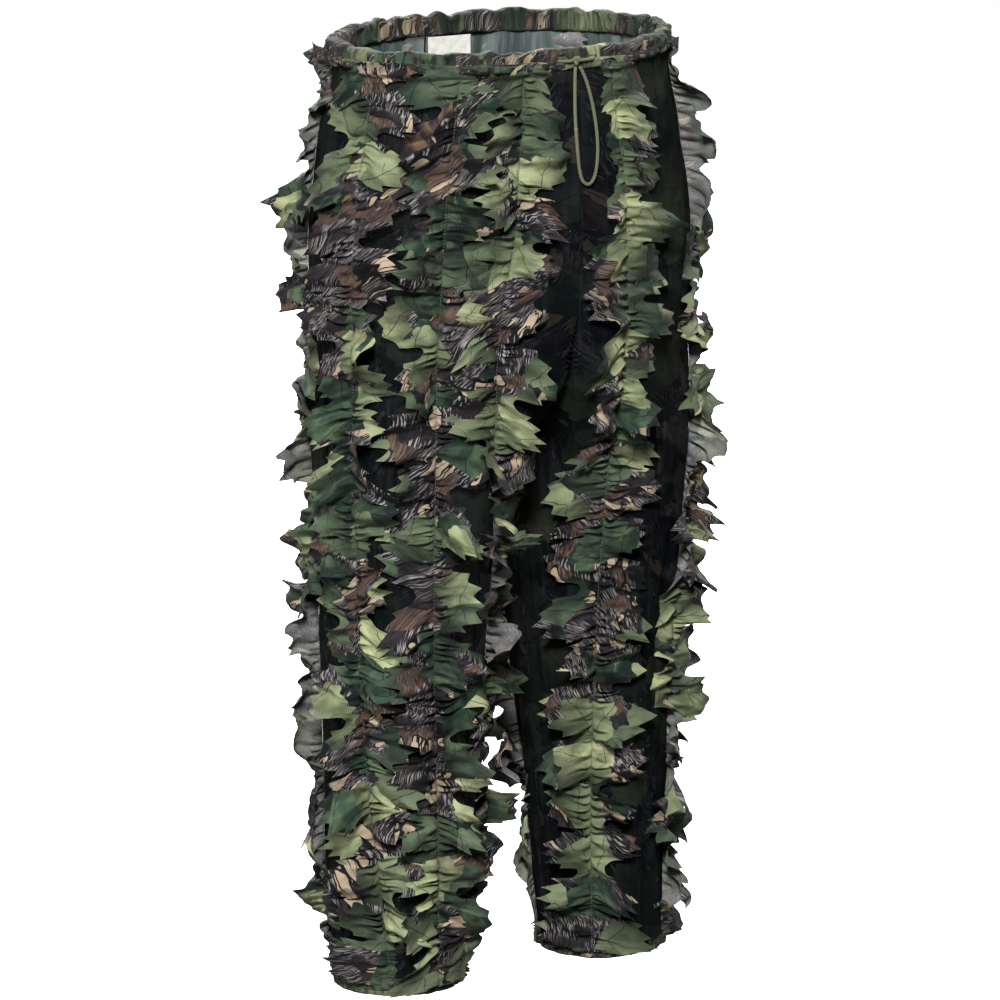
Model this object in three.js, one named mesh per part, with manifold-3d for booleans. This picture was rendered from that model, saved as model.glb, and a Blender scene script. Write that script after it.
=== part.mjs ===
// Leaf-covered camouflage trousers of a ghillie suit, as they hang open from the waist.
// Millimetres. +Z is up, the wearer faces -Y, and so the wearer's right is at -X.
// The origin is the middle of the waist opening, level with the waistband's top rim.
// "Drop" is a distance below that rim. Around a leg, an angle of 0 points at the other
// leg, 90 to the front, 180 to the outside and 270 to the back.

import * as THREE from "three";
import { mergeVertices } from "three/addons/utils/BufferGeometryUtils.js";
import Module from "manifold-3d";

// ---- Lengths down the garment ----
const outseam = 1020;
const waistCasingHeight = 23;
const hemCasingHeight = 19;
const hipLineDrop = 190;
const crotchCurveDrop = 285;
const crotchDrop = 345;
const thighDrop = 430;
const legOvalStartDrop = 320;
const legOvalDrop = 470;
const stripBreakDrop = 520;
const hipHingeDrop = 330;
const kneeHingeDrop = 650;
const bendZone = 120;

// ---- Girths, as half widths (side to side) and half depths (front to back) ----
const waistHalfWidth = 194;
const waistHalfDepth = 146;
const hipHalfWidth = 223;
const hipHalfDepth = 152;
const crotchHalfWidth = 224;
const crotchHalfDepth = 141;
const legTopWidthEase = 2;
const legTopDepthEase = 4;
const thighHalfWidth = 105;
const thighHalfDepth = 119;
const kneeHalfWidth = 89;
const kneeHalfDepth = 92;
const hemHalfWidth = 71;
const hemHalfDepth = 72;
const kneeAxis = 122;
const hemAxis = 134;

// ---- Cloth, casings and elastic ----
const clothThickness = 3;
const seamGap = 0.4;
const casingThickness = 8.8;
const casingWall = 1.2;
const cutterAllowance = 1;
const hemCasingThickness = 6;
const elasticHeight = 18;
const elasticThickness = 1.4;
const hemElasticHeight = 12;
const elasticInset = 0.5;
const elasticGapLength = 14;
const elasticGapHeight = 8;
const ringSteps = 48;
const hemRingSteps = 28;

// ---- Leaf strips: folded ribbons whose scalloped wings lift off the cloth ----
const stripThickness = 1.6;
const stripStandOff = 2.6;
const leafPitch = 54;
const wingTipSpread = 28;
const wingTipLift = 25;
const wingNotchSpread = 15;
const wingNotchLift = 6;
const stripEndGap = 4;

// ---- Drawstring ----
const cordDiameter = 3.3;
const cordSides = 8;
const cordDrop = 12;
const cordInset = 3.5;
const stepsPerCordPoint = 2;
const tunnelTurns = 40;
const knotColumns = 14;
const knotRows = 9;
const knotAcross = -8;
const knotHalfSize = new THREE.Vector3(5.6, 3.8, 4.2);
const knotStandOff = 6.2;
const rightHoleAcross = -25;
const leftHoleAcross = 17.6;
const holeLength = 15;
const holeHeight = 4.6;
const holeStitchWidth = 2;
const holeStitchThickness = 0.8;
const holeStitchGap = 0.4;
const holeCurveSegments = 6;
// The cord's way through a buttonhole: it rises over the slit's end nearer the knot, is
// level with the casing's face past the slit's middle, and is in the tunnel after that.
const passageRiseAcross = 5.4;
const passageRise = 4.6;
const passageLevelAcross = 1;
const passageSinkAcross = 7.8;
const tunnelStartAcross = 17;

// ---- Label ----
const labelWidth = 52;
const labelHeight = 25;
const labelThickness = 0.8;
const labelAngle = 172;
const labelInset = 12;

const meshCloth = { color: 0x1c2422, roughness: 0.85, metalness: 0 };
const printedCloth = { color: 0x4d5a3c, roughness: 0.8, metalness: 0 };
const leafCloth = { color: 0x5f7a3f, roughness: 0.75, metalness: 0 };
const elasticWebbing = { color: 0xd8d6cf, roughness: 0.7, metalness: 0 };
const oliveCord = { color: 0x69693f, roughness: 0.8, metalness: 0 };
const labelSatin = { color: 0xeceae2, roughness: 0.45, metalness: 0 };
const stitchThread = { color: 0x3c4432, roughness: 0.7, metalness: 0 };

const hemTopDrop = outseam - hemCasingHeight;
const seatInset = casingThickness / 2;

// Sizes at stations down the garment. Between them each size runs on a smooth curve.
const seatProfile = [
  { drop: waistCasingHeight, width: waistHalfWidth - seatInset, depth: waistHalfDepth - seatInset },
  { drop: hipLineDrop, width: hipHalfWidth, depth: hipHalfDepth },
  { drop: crotchDrop, width: crotchHalfWidth, depth: crotchHalfDepth },
];
const legProfile = [
  { drop: crotchDrop, width: crotchHalfWidth / 2 - legTopWidthEase, depth: crotchHalfDepth - legTopDepthEase },
  { drop: thighDrop, width: thighHalfWidth, depth: thighHalfDepth },
  { drop: kneeHingeDrop, width: kneeHalfWidth, depth: kneeHalfDepth },
  { drop: hemTopDrop, width: hemHalfWidth, depth: hemHalfDepth },
];
const axisProfile = [
  { drop: 0, x: waistHalfWidth / 2 },
  { drop: crotchDrop, x: crotchHalfWidth / 2 },
  { drop: kneeHingeDrop, x: kneeAxis },
  { drop: outseam, x: hemAxis },
];

// Five strips run down each leg. Each has its angle around the leg at these drops.
const stripStations = [30, 160, 300, 450, 650, 850, 1000];
const strips = [
  { side: "right", place: "inner", angles: [75, 79, 82, 77, 47, 40, 40] },
  { side: "right", place: "front", angles: [104, 111, 112, 111, 106, 96, 90] },
  { side: "right", place: "outer", angles: [157, 158, 158, 158, 157, 146, 132] },
  { side: "right", place: "rear", angles: [223, 219, 216, 215, 215, 212, 208] },
  { side: "right", place: "back", angles: [278, 278, 276, 279, 285, 288, 290] },
  { side: "left", place: "front", angles: [69, 72, 71, 66, 57, 50, 48] },
  { side: "left", place: "outer", angles: [137, 146, 147, 140, 126, 130, 134] },
  { side: "left", place: "rear", angles: [208, 206, 204, 202, 200, 200, 200] },
  { side: "left", place: "back", angles: [256, 254, 252, 250, 252, 254, 256] },
  { side: "left", place: "inner", angles: [289, 287, 284, 288, 303, 312, 316] },
];

// The free loop of cord below the knot, from one side of the knot's foot to the other.
const loopRoute = [
  [-9.4, -152.0, -18.2],
  [-10.2, -152.3, -27.0],
  [-10.9, -153.0, -41.0],
  [-11.5, -154.0, -58.0],
  [-11.6, -155.0, -75.0],
  [-10.9, -156.0, -93.0],
  [-9.8, -157.0, -111.0],
  [-8.2, -157.8, -127.0],
  [-4.6, -158.2, -138.4],
  [1.8, -158.4, -143.2],
  [8.6, -158.2, -139.6],
  [13.4, -157.6, -128.0],
  [15.8, -156.8, -110.0],
  [15.4, -155.8, -91.0],
  [12.9, -154.8, -71.0],
  [8.9, -153.8, -52.0],
  [3.9, -152.8, -35.0],
  [-1.4, -152.2, -23.4],
  [-4.6, -152.0, -18.2],
];

const sideSign = { right: -1, left: 1 };
const degrees = Math.PI / 180;

const wasm = await Module();
wasm.setup();

// ---- Profiles of the cloth ----

// The angle around the waist, from the front, at a distance across to the wearer's left.
function waistAngle(across) {
  return Math.asin(across / waistHalfWidth) / degrees;
}

// A named size at a drop, on a smooth curve through the profile's stations.
function sizeAt(profile, name, drop) {
  const last = profile.length - 1;
  let from = 0;
  while (from < last - 1 && drop > profile[from + 1].drop) {
    from += 1;
  }
  const slopeAt = (index) => {
    const before = profile[Math.max(index - 1, 0)];
    const after = profile[Math.min(index + 1, last)];
    return (after[name] - before[name]) / (after.drop - before.drop);
  };
  const start = profile[from];
  const end = profile[from + 1];
  const span = end.drop - start.drop;
  const t = THREE.MathUtils.clamp((drop - start.drop) / span, 0, 1);
  const rise = t * t * (3 - 2 * t);
  const bulge = t * (1 - t) * (1 - t) * slopeAt(from) - t * t * (1 - t) * slopeAt(from + 1);
  return start[name] + (end[name] - start[name]) * rise + span * bulge;
}

// Distance from the leg's axis to the seat's oval, which both legs share.
function seatRadius(angle, drop) {
  const axis = sizeAt(axisProfile, "x", drop);
  const width = sizeAt(seatProfile, "width", drop);
  const depth = sizeAt(seatProfile, "depth", drop);
  const across = Math.cos(angle * degrees);
  const along = Math.sin(angle * degrees);
  const a = (across / width) ** 2 + (along / depth) ** 2;
  const b = (-axis * across) / width ** 2;
  const c = (axis / width) ** 2 - 1;
  return (-b + Math.sqrt(b * b - a * c)) / a;
}

// Distance from the leg's axis to the cloth's outer face. Above the crotch the outline
// is half of the seat's oval, closed along the middle, and below it the leg's own oval.
function clothRadius(angle, drop) {
  const axis = sizeAt(axisProfile, "x", drop);
  const across = Math.cos(angle * degrees);
  const along = Math.sin(angle * degrees);
  const middle = across > 0 ? (axis - seamGap / 2) / across : Infinity;
  const seat = Math.min(seatRadius(angle, drop), middle);
  const legWidth = sizeAt(legProfile, "width", drop);
  const legDepth = sizeAt(legProfile, "depth", drop);
  const leg = 1 / Math.hypot(across / legWidth, along / legDepth);
  const legShare = THREE.MathUtils.smoothstep(drop, legOvalStartDrop, legOvalDrop);
  return THREE.MathUtils.lerp(seat, leg, legShare);
}

// A point beside the cloth's outer face: lift is how far outside it, or inside if negative.
function clothPoint(side, angle, drop, lift = 0) {
  const radius = clothRadius(angle, drop) + lift;
  const inward = radius * Math.cos(angle * degrees) - sizeAt(axisProfile, "x", drop);
  return new THREE.Vector3(-sideSign[side] * inward, -radius * Math.sin(angle * degrees), -drop);
}

// The angle at which a leg's cloth begins: the centre seam, then the curve under the
// crotch, and then the inseam.
function firstAngle(drop) {
  const axis = sizeAt(axisProfile, "x", drop);
  const depth = sizeAt(seatProfile, "depth", drop);
  const curve = THREE.MathUtils.clamp((crotchDrop - drop) / (crotchDrop - crotchCurveDrop), 0, 1);
  const inseamGap = seamGap / 2 / clothRadius(0, drop) / degrees;
  return Math.max(Math.atan2(depth * Math.sqrt(curve), axis) / degrees, inseamGap);
}

// ---- Closed solids from points ----

// A geometry from corner points and triangles, turned so that its faces point out.
function solidFrom(points, triangles) {
  let volume = 0;
  for (const [a, b, c] of triangles) {
    volume += points[a].dot(new THREE.Vector3().crossVectors(points[b], points[c]));
  }
  const turned = volume > 0 ? triangles : triangles.map(([a, b, c]) => [a, c, b]);
  const geometry = new THREE.BufferGeometry();
  geometry.setAttribute("position", new THREE.Float32BufferAttribute(points.flatMap((p) => p.toArray()), 3));
  geometry.setIndex(turned.flat());
  return geometry;
}

// A sheet with thickness: outer(i, j) and inner(i, j) give its two faces' points.
function thickSheet(columns, rows, outer, inner) {
  const points = [];
  const place = (layer, i, j) => (layer * (rows + 1) + j) * (columns + 1) + i;
  for (const face of [outer, inner]) {
    for (let j = 0; j <= rows; j += 1) {
      for (let i = 0; i <= columns; i += 1) {
        points.push(face(i, j));
      }
    }
  }
  const triangles = [];
  const quad = (a, b, c, d) => triangles.push([a, b, c], [a, c, d]);
  for (let j = 0; j < rows; j += 1) {
    for (let i = 0; i < columns; i += 1) {
      quad(place(0, i, j), place(0, i + 1, j), place(0, i + 1, j + 1), place(0, i, j + 1));
      quad(place(1, i, j), place(1, i, j + 1), place(1, i + 1, j + 1), place(1, i + 1, j));
    }
  }
  for (let i = 0; i < columns; i += 1) {
    quad(place(0, i, 0), place(1, i, 0), place(1, i + 1, 0), place(0, i + 1, 0));
    quad(place(0, i, rows), place(0, i + 1, rows), place(1, i + 1, rows), place(1, i, rows));
  }
  for (let j = 0; j < rows; j += 1) {
    quad(place(0, 0, j), place(0, 0, j + 1), place(1, 0, j + 1), place(1, 0, j));
    quad(place(0, columns, j), place(1, columns, j), place(1, columns, j + 1), place(0, columns, j + 1));
  }
  return solidFrom(points, triangles);
}

// An oval's point and outward direction at an angle from the front, positive to the left.
function ovalPoint(width, depth, angle) {
  const point = new THREE.Vector3(width * Math.sin(angle * degrees), -depth * Math.cos(angle * degrees), 0);
  const outward = new THREE.Vector3(point.x / width ** 2, point.y / depth ** 2, 0).normalize();
  return { point, outward };
}

// A closed oval band: from outset to inset inside the oval, between two heights.
function ovalBand({ width, depth, outset, inset, top, bottom, steps }) {
  const points = [];
  for (let i = 0; i < steps; i += 1) {
    const { point, outward } = ovalPoint(width, depth, (360 * i) / steps);
    for (const [within, height] of [[outset, top], [inset, top], [inset, bottom], [outset, bottom]]) {
      points.push(point.clone().addScaledVector(outward, -within).setZ(height));
    }
  }
  const triangles = [];
  for (let i = 0; i < steps; i += 1) {
    const here = 4 * i;
    const next = 4 * ((i + 1) % steps);
    for (let k = 0; k < 4; k += 1) {
      const m = (k + 1) % 4;
      triangles.push([here + k, next + k, next + m], [here + k, next + m, here + m]);
    }
  }
  return solidFrom(points, triangles);
}

// A round cord through points. It is stepped between the points, not by length, so that
// it is finest where its points are closest together.
function cordAlong(points) {
  const path = new THREE.CatmullRomCurve3(points, false, "centripetal");
  path.getPointAt = (t, target) => path.getPoint(t, target);
  path.getTangentAt = (t, target) => path.getTangent(t, target);
  const steps = stepsPerCordPoint * (points.length - 1);
  const section = new THREE.Shape();
  for (let i = 0; i < cordSides; i += 1) {
    const turn = (2 * Math.PI * i) / cordSides;
    const place = [(cordDiameter / 2) * Math.cos(turn), (cordDiameter / 2) * Math.sin(turn)];
    if (i === 0) {
      section.moveTo(...place);
    } else {
      section.lineTo(...place);
    }
  }
  section.closePath();
  return new THREE.ExtrudeGeometry(section, { steps, extrudePath: path, bevelEnabled: false });
}

// ---- Joining and cutting ----

function toManifold(geometry) {
  const bare = geometry.clone();
  bare.deleteAttribute("normal");
  bare.deleteAttribute("uv");
  const merged = mergeVertices(bare);
  const vertProperties = new Float32Array(merged.attributes.position.array);
  const triVerts = new Uint32Array(merged.index.array);
  return new wasm.Manifold(new wasm.Mesh({ numProp: 3, vertProperties, triVerts }));
}

function cut(geometry, ...cutters) {
  let solid = toManifold(geometry);
  for (const cutter of cutters) {
    solid = solid.subtract(toManifold(cutter));
  }
  const mesh = solid.getMesh();
  const result = new THREE.BufferGeometry();
  result.setAttribute("position", new THREE.Float32BufferAttribute(mesh.vertProperties, 3));
  result.setIndex(Array.from(mesh.triVerts));
  return result;
}

// ---- The object ----

const trousers = new THREE.Group();

function addPiece(name, geometry, finish, group = trousers) {
  const piece = new THREE.Mesh(geometry, new THREE.MeshStandardMaterial(finish));
  piece.name = name;
  group.add(piece);
  return piece;
}

// One front or back piece of a leg's mesh cloth, between two drops.
function clothPanel(side, face, fromDrop, toDrop, columns, rows) {
  const drops = (j) => THREE.MathUtils.lerp(fromDrop + seamGap / 2, toDrop - seamGap / 2, j / rows);
  const angleAt = (i, j) => {
    const drop = drops(j);
    const outseamGap = seamGap / 2 / clothRadius(180, drop) / degrees;
    const angle = THREE.MathUtils.lerp(firstAngle(drop), 180 - outseamGap, i / columns);
    return face === "front" ? angle : 360 - angle;
  };
  return thickSheet(
    columns,
    rows,
    (i, j) => clothPoint(side, angleAt(i, j), drops(j)),
    (i, j) => clothPoint(side, angleAt(i, j), drops(j), -clothThickness),
  );
}

const hipTop = hipHingeDrop - bendZone / 2;
const hipBottom = hipHingeDrop + bendZone / 2;
const kneeTop = kneeHingeDrop - bendZone / 2;
const kneeBottom = kneeHingeDrop + bendZone / 2;
const panelZones = [
  { zone: "seat", from: waistCasingHeight + seamGap / 2, to: hipTop, columns: 9, rows: 4 },
  { zone: "hip", from: hipTop, to: hipBottom, columns: 9, rows: 8 },
  { zone: "thigh", from: hipBottom, to: kneeTop, columns: 8, rows: 3 },
  { zone: "knee", from: kneeTop, to: kneeBottom, columns: 8, rows: 2 },
  { zone: "shin", from: kneeBottom, to: hemTopDrop - seamGap / 2, columns: 8, rows: 4 },
];

for (const side of ["right", "left"]) {
  for (const face of ["front", "back"]) {
    for (const { zone, from, to, columns, rows } of panelZones) {
      addPiece(`${zone}_${face}_${side}`, clothPanel(side, face, from, to, columns, rows), meshCloth);
    }
  }
}

// A strip's angle around the leg at a drop.
function stripAngle(strip, drop) {
  const profile = stripStations.map((station, k) => ({ drop: station, angle: strip.angles[k] }));
  return sizeAt(profile, "angle", drop);
}

// A strip's point: spread sideways along the cloth and lifted off it.
function stripPoint(strip, drop, spread, lift) {
  const angle = stripAngle(strip, drop);
  const seam = clothPoint(strip.side, angle, drop);
  const sideways = clothPoint(strip.side, angle + 1, drop).sub(clothPoint(strip.side, angle - 1, drop));
  sideways.normalize();
  const outward = new THREE.Vector3(sideways.y, -sideways.x, 0);
  const fromAxis = new THREE.Vector3(seam.x - sideSign[strip.side] * sizeAt(axisProfile, "x", drop), seam.y, 0);
  outward.multiplyScalar(Math.sign(outward.dot(fromAxis)));
  return seam.addScaledVector(sideways, spread).addScaledVector(outward, lift);
}

// Part of a strip: its two wings are widest and highest at the middle of each leaf.
// The two wings' leaves stand half a leaf apart.
function stripPart(strip, fromDrop, toDrop) {
  const rows = Math.round((2 * (toDrop - fromDrop)) / leafPitch);
  const pointAt = (i, j, height) => {
    const drop = THREE.MathUtils.lerp(fromDrop, toDrop, j / rows);
    if (i === 1) {
      return stripPoint(strip, drop, 0, stripStandOff + height);
    }
    const isTip = (j + i / 2) % 2 === 1;
    const spread = isTip ? wingTipSpread : wingNotchSpread;
    const lift = stripStandOff + height + (isTip ? wingTipLift : wingNotchLift);
    return stripPoint(strip, drop, i === 0 ? -spread : spread, lift);
  };
  return thickSheet(2, rows, (i, j) => pointAt(i, j, stripThickness), (i, j) => pointAt(i, j, 0));
}

const stripTop = waistCasingHeight + stripEndGap;
const stripFoot = hemTopDrop - stripEndGap;
for (const strip of strips) {
  const name = `strip_${strip.place}_${strip.side}`;
  addPiece(`${name}_upper`, stripPart(strip, stripTop, stripBreakDrop - seamGap), leafCloth);
  addPiece(`${name}_lower`, stripPart(strip, stripBreakDrop + seamGap, stripFoot), leafCloth);
}

// A place on the waist casing's outer face, turned so that local -Y points out of it.
function waistPlace(angle, drop, standOff) {
  const { point, outward } = ovalPoint(waistHalfWidth, waistHalfDepth, angle);
  const place = new THREE.Group();
  place.position.copy(point).addScaledVector(outward, standOff).setZ(-drop);
  place.rotation.z = Math.atan2(outward.x, -outward.y);
  place.updateMatrixWorld();
  trousers.add(place);
  return place;
}

// The waistband is a folded casing. The cord comes out of it through two buttonholes.
function buttonholeCutter(across) {
  const cutter = new THREE.BoxGeometry(holeLength, 2 * casingWall + cutterAllowance, holeHeight);
  return cutter.applyMatrix4(waistPlace(waistAngle(across), cordDrop, 0).matrixWorld);
}

const waistOval = { width: waistHalfWidth, depth: waistHalfDepth, steps: ringSteps };
const waistCasing = cut(
  ovalBand({ ...waistOval, outset: 0, inset: casingThickness, top: 0, bottom: -waistCasingHeight }),
  ovalBand({
    ...waistOval,
    outset: casingWall,
    inset: casingThickness - casingWall,
    top: -casingWall,
    bottom: casingWall - waistCasingHeight,
  }),
  buttonholeCutter(rightHoleAcross),
  buttonholeCutter(leftHoleAcross),
);
addPiece("waist_casing", waistCasing, printedCloth);

const elasticInnerInset = casingThickness - casingWall - elasticInset;
const elasticMiddle = -waistCasingHeight / 2;
const waistElastic = ovalBand({
  ...waistOval,
  outset: elasticInnerInset - elasticThickness,
  inset: elasticInnerInset,
  top: elasticMiddle + elasticHeight / 2,
  bottom: elasticMiddle - elasticHeight / 2,
});
addPiece("waist_elastic", waistElastic, elasticWebbing);

// A buttonhole's stitched border, lying on the casing around its slit.
function buttonholeBorder() {
  const outline = (length, height) => {
    const shape = new THREE.Shape();
    const radius = height / 2;
    const straight = length / 2 - radius;
    shape.absarc(straight, 0, radius, -Math.PI / 2, Math.PI / 2, false);
    shape.absarc(-straight, 0, radius, Math.PI / 2, (3 * Math.PI) / 2, false);
    shape.closePath();
    return shape;
  };
  const border = outline(holeLength + 2 * holeStitchWidth, holeHeight + 2 * holeStitchWidth);
  border.holes.push(outline(holeLength, holeHeight));
  const options = { depth: holeStitchThickness, bevelEnabled: false, curveSegments: holeCurveSegments };
  return new THREE.ExtrudeGeometry(border, options).rotateX(Math.PI / 2);
}

for (const [side, across] of [["right", rightHoleAcross], ["left", leftHoleAcross]]) {
  const place = waistPlace(waistAngle(across), cordDrop, holeStitchGap);
  addPiece(`buttonhole_${side}`, buttonholeBorder(), stitchThread, place);
}

// The cord runs in the casing, out of both buttonholes and to the two sides of the knot.
const knotOval = ovalPoint(waistHalfWidth, waistHalfDepth, waistAngle(knotAcross));
const knotCentre = knotOval.point.clone().addScaledVector(knotOval.outward, knotStandOff).setZ(-cordDrop);
const knot = addPiece("drawstring_knot", new THREE.SphereGeometry(1, knotColumns, knotRows), oliveCord);
knot.scale.copy(knotHalfSize);
knot.position.copy(knotCentre);

function cordPlace(angle, standOff) {
  const { point, outward } = ovalPoint(waistHalfWidth, waistHalfDepth, angle);
  return point.addScaledVector(outward, standOff).setZ(-cordDrop);
}

// From the tunnel out through a buttonhole, listed from the knot's side inwards. Inwards
// is 1 where the cord goes on to the wearer's left, and -1 where it goes on to the right.
function buttonholePassage(holeAcross, inwards) {
  return [
    cordPlace(waistAngle(holeAcross - passageRiseAcross * inwards), passageRise),
    cordPlace(waistAngle(holeAcross + passageLevelAcross * inwards), 0),
    cordPlace(waistAngle(holeAcross + passageSinkAcross * inwards), -cordInset),
  ];
}

const knotSide = new THREE.Vector3(knotHalfSize.x + 2 * seamGap, 0, 0);
const tunnelStart = waistAngle(leftHoleAcross + tunnelStartAcross);
const tunnelEnd = 360 + waistAngle(rightHoleAcross - tunnelStartAcross);
const tunnelPoints = [knotCentre.clone().add(knotSide), ...buttonholePassage(leftHoleAcross, 1)];
for (let i = 0; i <= tunnelTurns; i += 1) {
  const angle = THREE.MathUtils.lerp(tunnelStart, tunnelEnd, i / tunnelTurns);
  tunnelPoints.push(cordPlace(angle, -cordInset));
}
tunnelPoints.push(...buttonholePassage(rightHoleAcross, -1).reverse(), knotCentre.clone().sub(knotSide));
addPiece("drawstring", cordAlong(tunnelPoints), oliveCord);

const loopPoints = loopRoute.map((point) => new THREE.Vector3(...point));
addPiece("drawstring_loop", cordAlong(loopPoints), oliveCord);

// The label hangs by its top edge inside the back of the waist.
const labelPlace = waistPlace(labelAngle, waistCasingHeight + seamGap, -labelInset);
const label = new THREE.BoxGeometry(labelWidth, labelThickness, labelHeight);
label.translate(0, 0, -labelHeight / 2);
addPiece("label", label, labelSatin, labelPlace);

// Each hem is a folded casing with a gap in its inner wall, and elastic inside it.
for (const side of ["right", "left"]) {
  const hem = new THREE.Group();
  hem.position.set(sideSign[side] * hemAxis, 0, 0);
  trousers.add(hem);
  const hemOval = { width: hemHalfWidth, depth: hemHalfDepth, steps: hemRingSteps };
  const gap = new THREE.BoxGeometry(2 * casingWall + cutterAllowance, elasticGapLength, elasticGapHeight);
  const gapMiddle = hemHalfWidth - hemCasingThickness + casingWall / 2;
  gap.translate(-sideSign[side] * gapMiddle, 0, -outseam + hemCasingHeight / 2);
  const casing = cut(
    ovalBand({ ...hemOval, outset: 0, inset: hemCasingThickness, top: -hemTopDrop, bottom: -outseam }),
    ovalBand({
      ...hemOval,
      outset: casingWall,
      inset: hemCasingThickness - casingWall,
      top: -hemTopDrop - casingWall,
      bottom: -outseam + casingWall,
    }),
    gap,
  );
  addPiece(`hem_casing_${side}`, casing, printedCloth, hem);
  const hemMiddle = -outseam + hemCasingHeight / 2;
  const elastic = ovalBand({
    ...hemOval,
    outset: (hemCasingThickness - elasticThickness) / 2,
    inset: (hemCasingThickness + elasticThickness) / 2,
    top: hemMiddle + hemElasticHeight / 2,
    bottom: hemMiddle - hemElasticHeight / 2,
  });
  addPiece(`hem_elastic_${side}`, elastic, elasticWebbing, hem);
}

export default trousers;
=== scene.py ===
"""Builds the looks of leaf-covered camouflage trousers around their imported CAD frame.

Everything is in metres in the frame's own axes: +Z is up, the wearer faces -Y and the
wearer's right is at -X. A drop is a distance below the waistband's top rim. Around a leg
an angle of 0 points at the other leg, 90 to the front, 180 outwards and 270 to the back.
"""

import logging
import math
from dataclasses import dataclass, field
from enum import Enum
from functools import cached_property

import bpy
import numpy as np
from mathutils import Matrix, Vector

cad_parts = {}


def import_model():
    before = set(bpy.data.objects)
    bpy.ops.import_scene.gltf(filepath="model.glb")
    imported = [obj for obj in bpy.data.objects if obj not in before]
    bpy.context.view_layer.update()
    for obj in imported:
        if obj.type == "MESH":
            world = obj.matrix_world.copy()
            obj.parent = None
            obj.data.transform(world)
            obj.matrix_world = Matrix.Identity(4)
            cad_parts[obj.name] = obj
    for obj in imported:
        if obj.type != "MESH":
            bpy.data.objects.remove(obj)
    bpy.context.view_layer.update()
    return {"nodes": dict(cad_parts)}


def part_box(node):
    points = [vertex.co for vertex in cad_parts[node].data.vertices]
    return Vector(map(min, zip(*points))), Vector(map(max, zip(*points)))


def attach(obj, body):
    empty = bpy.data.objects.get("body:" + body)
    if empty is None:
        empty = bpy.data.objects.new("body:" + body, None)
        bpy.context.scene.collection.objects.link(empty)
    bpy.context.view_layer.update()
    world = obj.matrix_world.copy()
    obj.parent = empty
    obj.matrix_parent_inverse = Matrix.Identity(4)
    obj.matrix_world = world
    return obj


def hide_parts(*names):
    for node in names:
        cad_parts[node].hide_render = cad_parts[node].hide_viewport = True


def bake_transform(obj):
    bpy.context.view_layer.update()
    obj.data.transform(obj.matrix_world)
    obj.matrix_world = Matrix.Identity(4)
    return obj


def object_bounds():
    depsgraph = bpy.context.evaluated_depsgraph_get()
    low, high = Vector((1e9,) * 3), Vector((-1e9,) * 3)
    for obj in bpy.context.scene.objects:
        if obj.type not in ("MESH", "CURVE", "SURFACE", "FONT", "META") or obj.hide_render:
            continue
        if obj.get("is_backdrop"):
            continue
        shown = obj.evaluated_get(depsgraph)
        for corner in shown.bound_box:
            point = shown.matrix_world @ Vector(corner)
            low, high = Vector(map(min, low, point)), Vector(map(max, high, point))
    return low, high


Array = np.ndarray
Pair = tuple[float, float]
Piece = bpy.types.Object
Socket = bpy.types.NodeSocket

LOG = logging.getLogger("trousers")
FLAT_MAP = "flat"
FULL_TURN = 2 * math.pi
LATTICE = 64
BELL_REACHES = 3
STEADY = (0.3, 0.2, 0.9)
STRANDS = 6
STRAND_LAY = 2.2
END_FLOOR = 0.02
LEAST_POINTS = 8
TINY = 1e-6
FINER = 4


class Side(Enum):
    """A leg of the trousers, with the sign of its X."""

    RIGHT = -1.0
    LEFT = 1.0

    @property
    def word(self) -> str:
        """The side's name as the frame's nodes spell it."""
        return self.name.lower()


class Face(Enum):
    """The front or back cloth of a leg."""

    FRONT = "front"
    BACK = "back"


class Span(Enum):
    """The part of a leg above or below mid-thigh."""

    UPPER = "upper"
    LOWER = "lower"


# ---- Numbers ----


def hermite(stations: Array, values: Array, at: Array) -> Array:
    """Runs a smooth curve through stations.

    Args:
        stations: increasing places.
        values: the value at each station.
        at: the places asked for.

    Returns:
        The value at each place.
    """
    at = np.asarray(at, float)
    count = len(stations)
    slopes = np.empty(count)
    for k in range(count):
        low, high = max(k - 1, 0), min(k + 1, count - 1)
        slopes[k] = (values[high] - values[low]) / (stations[high] - stations[low])
    k = np.clip(np.searchsorted(stations, at, side="right") - 1, 0, count - 2)
    span = stations[k + 1] - stations[k]
    t = np.clip((at - stations[k]) / span, 0, 1)
    rise = t * t * (3 - 2 * t)
    bulge = t * (1 - t) ** 2 * slopes[k] - t * t * (1 - t) * slopes[k + 1]
    return values[k] + (values[k + 1] - values[k]) * rise + span * bulge


def smoothstep(low: float, high: float, x: Array) -> Array:
    """Rises smoothly from 0 at low to 1 at high."""
    t = np.clip((np.asarray(x, float) - low) / (high - low), 0, 1)
    return t * t * (3 - 2 * t)


def lattice_noise(x: Array, y: Array, seed: int) -> Array:
    """Gives smooth noise from -1 to 1 with features one unit apart.

    Args:
        x: first coordinate.
        y: second coordinate.
        seed: picks the pattern.

    Returns:
        The noise at each place.
    """
    x, y = np.broadcast_arrays(np.asarray(x, float), np.asarray(y, float))
    table = np.random.default_rng(seed).uniform(-1, 1, (LATTICE, LATTICE))
    i, j = np.floor(x).astype(int), np.floor(y).astype(int)
    u, v = x - i, y - j
    u, v = u * u * (3 - 2 * u), v * v * (3 - 2 * v)

    def corner(a: int, b: int) -> Array:
        """The lattice's value at one corner of each cell."""
        return table[(i + a) % LATTICE, (j + b) % LATTICE]

    low = corner(0, 0) * (1 - u) + corner(1, 0) * u
    high = corner(0, 1) * (1 - u) + corner(1, 1) * u
    return low * (1 - v) + high * v


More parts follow.
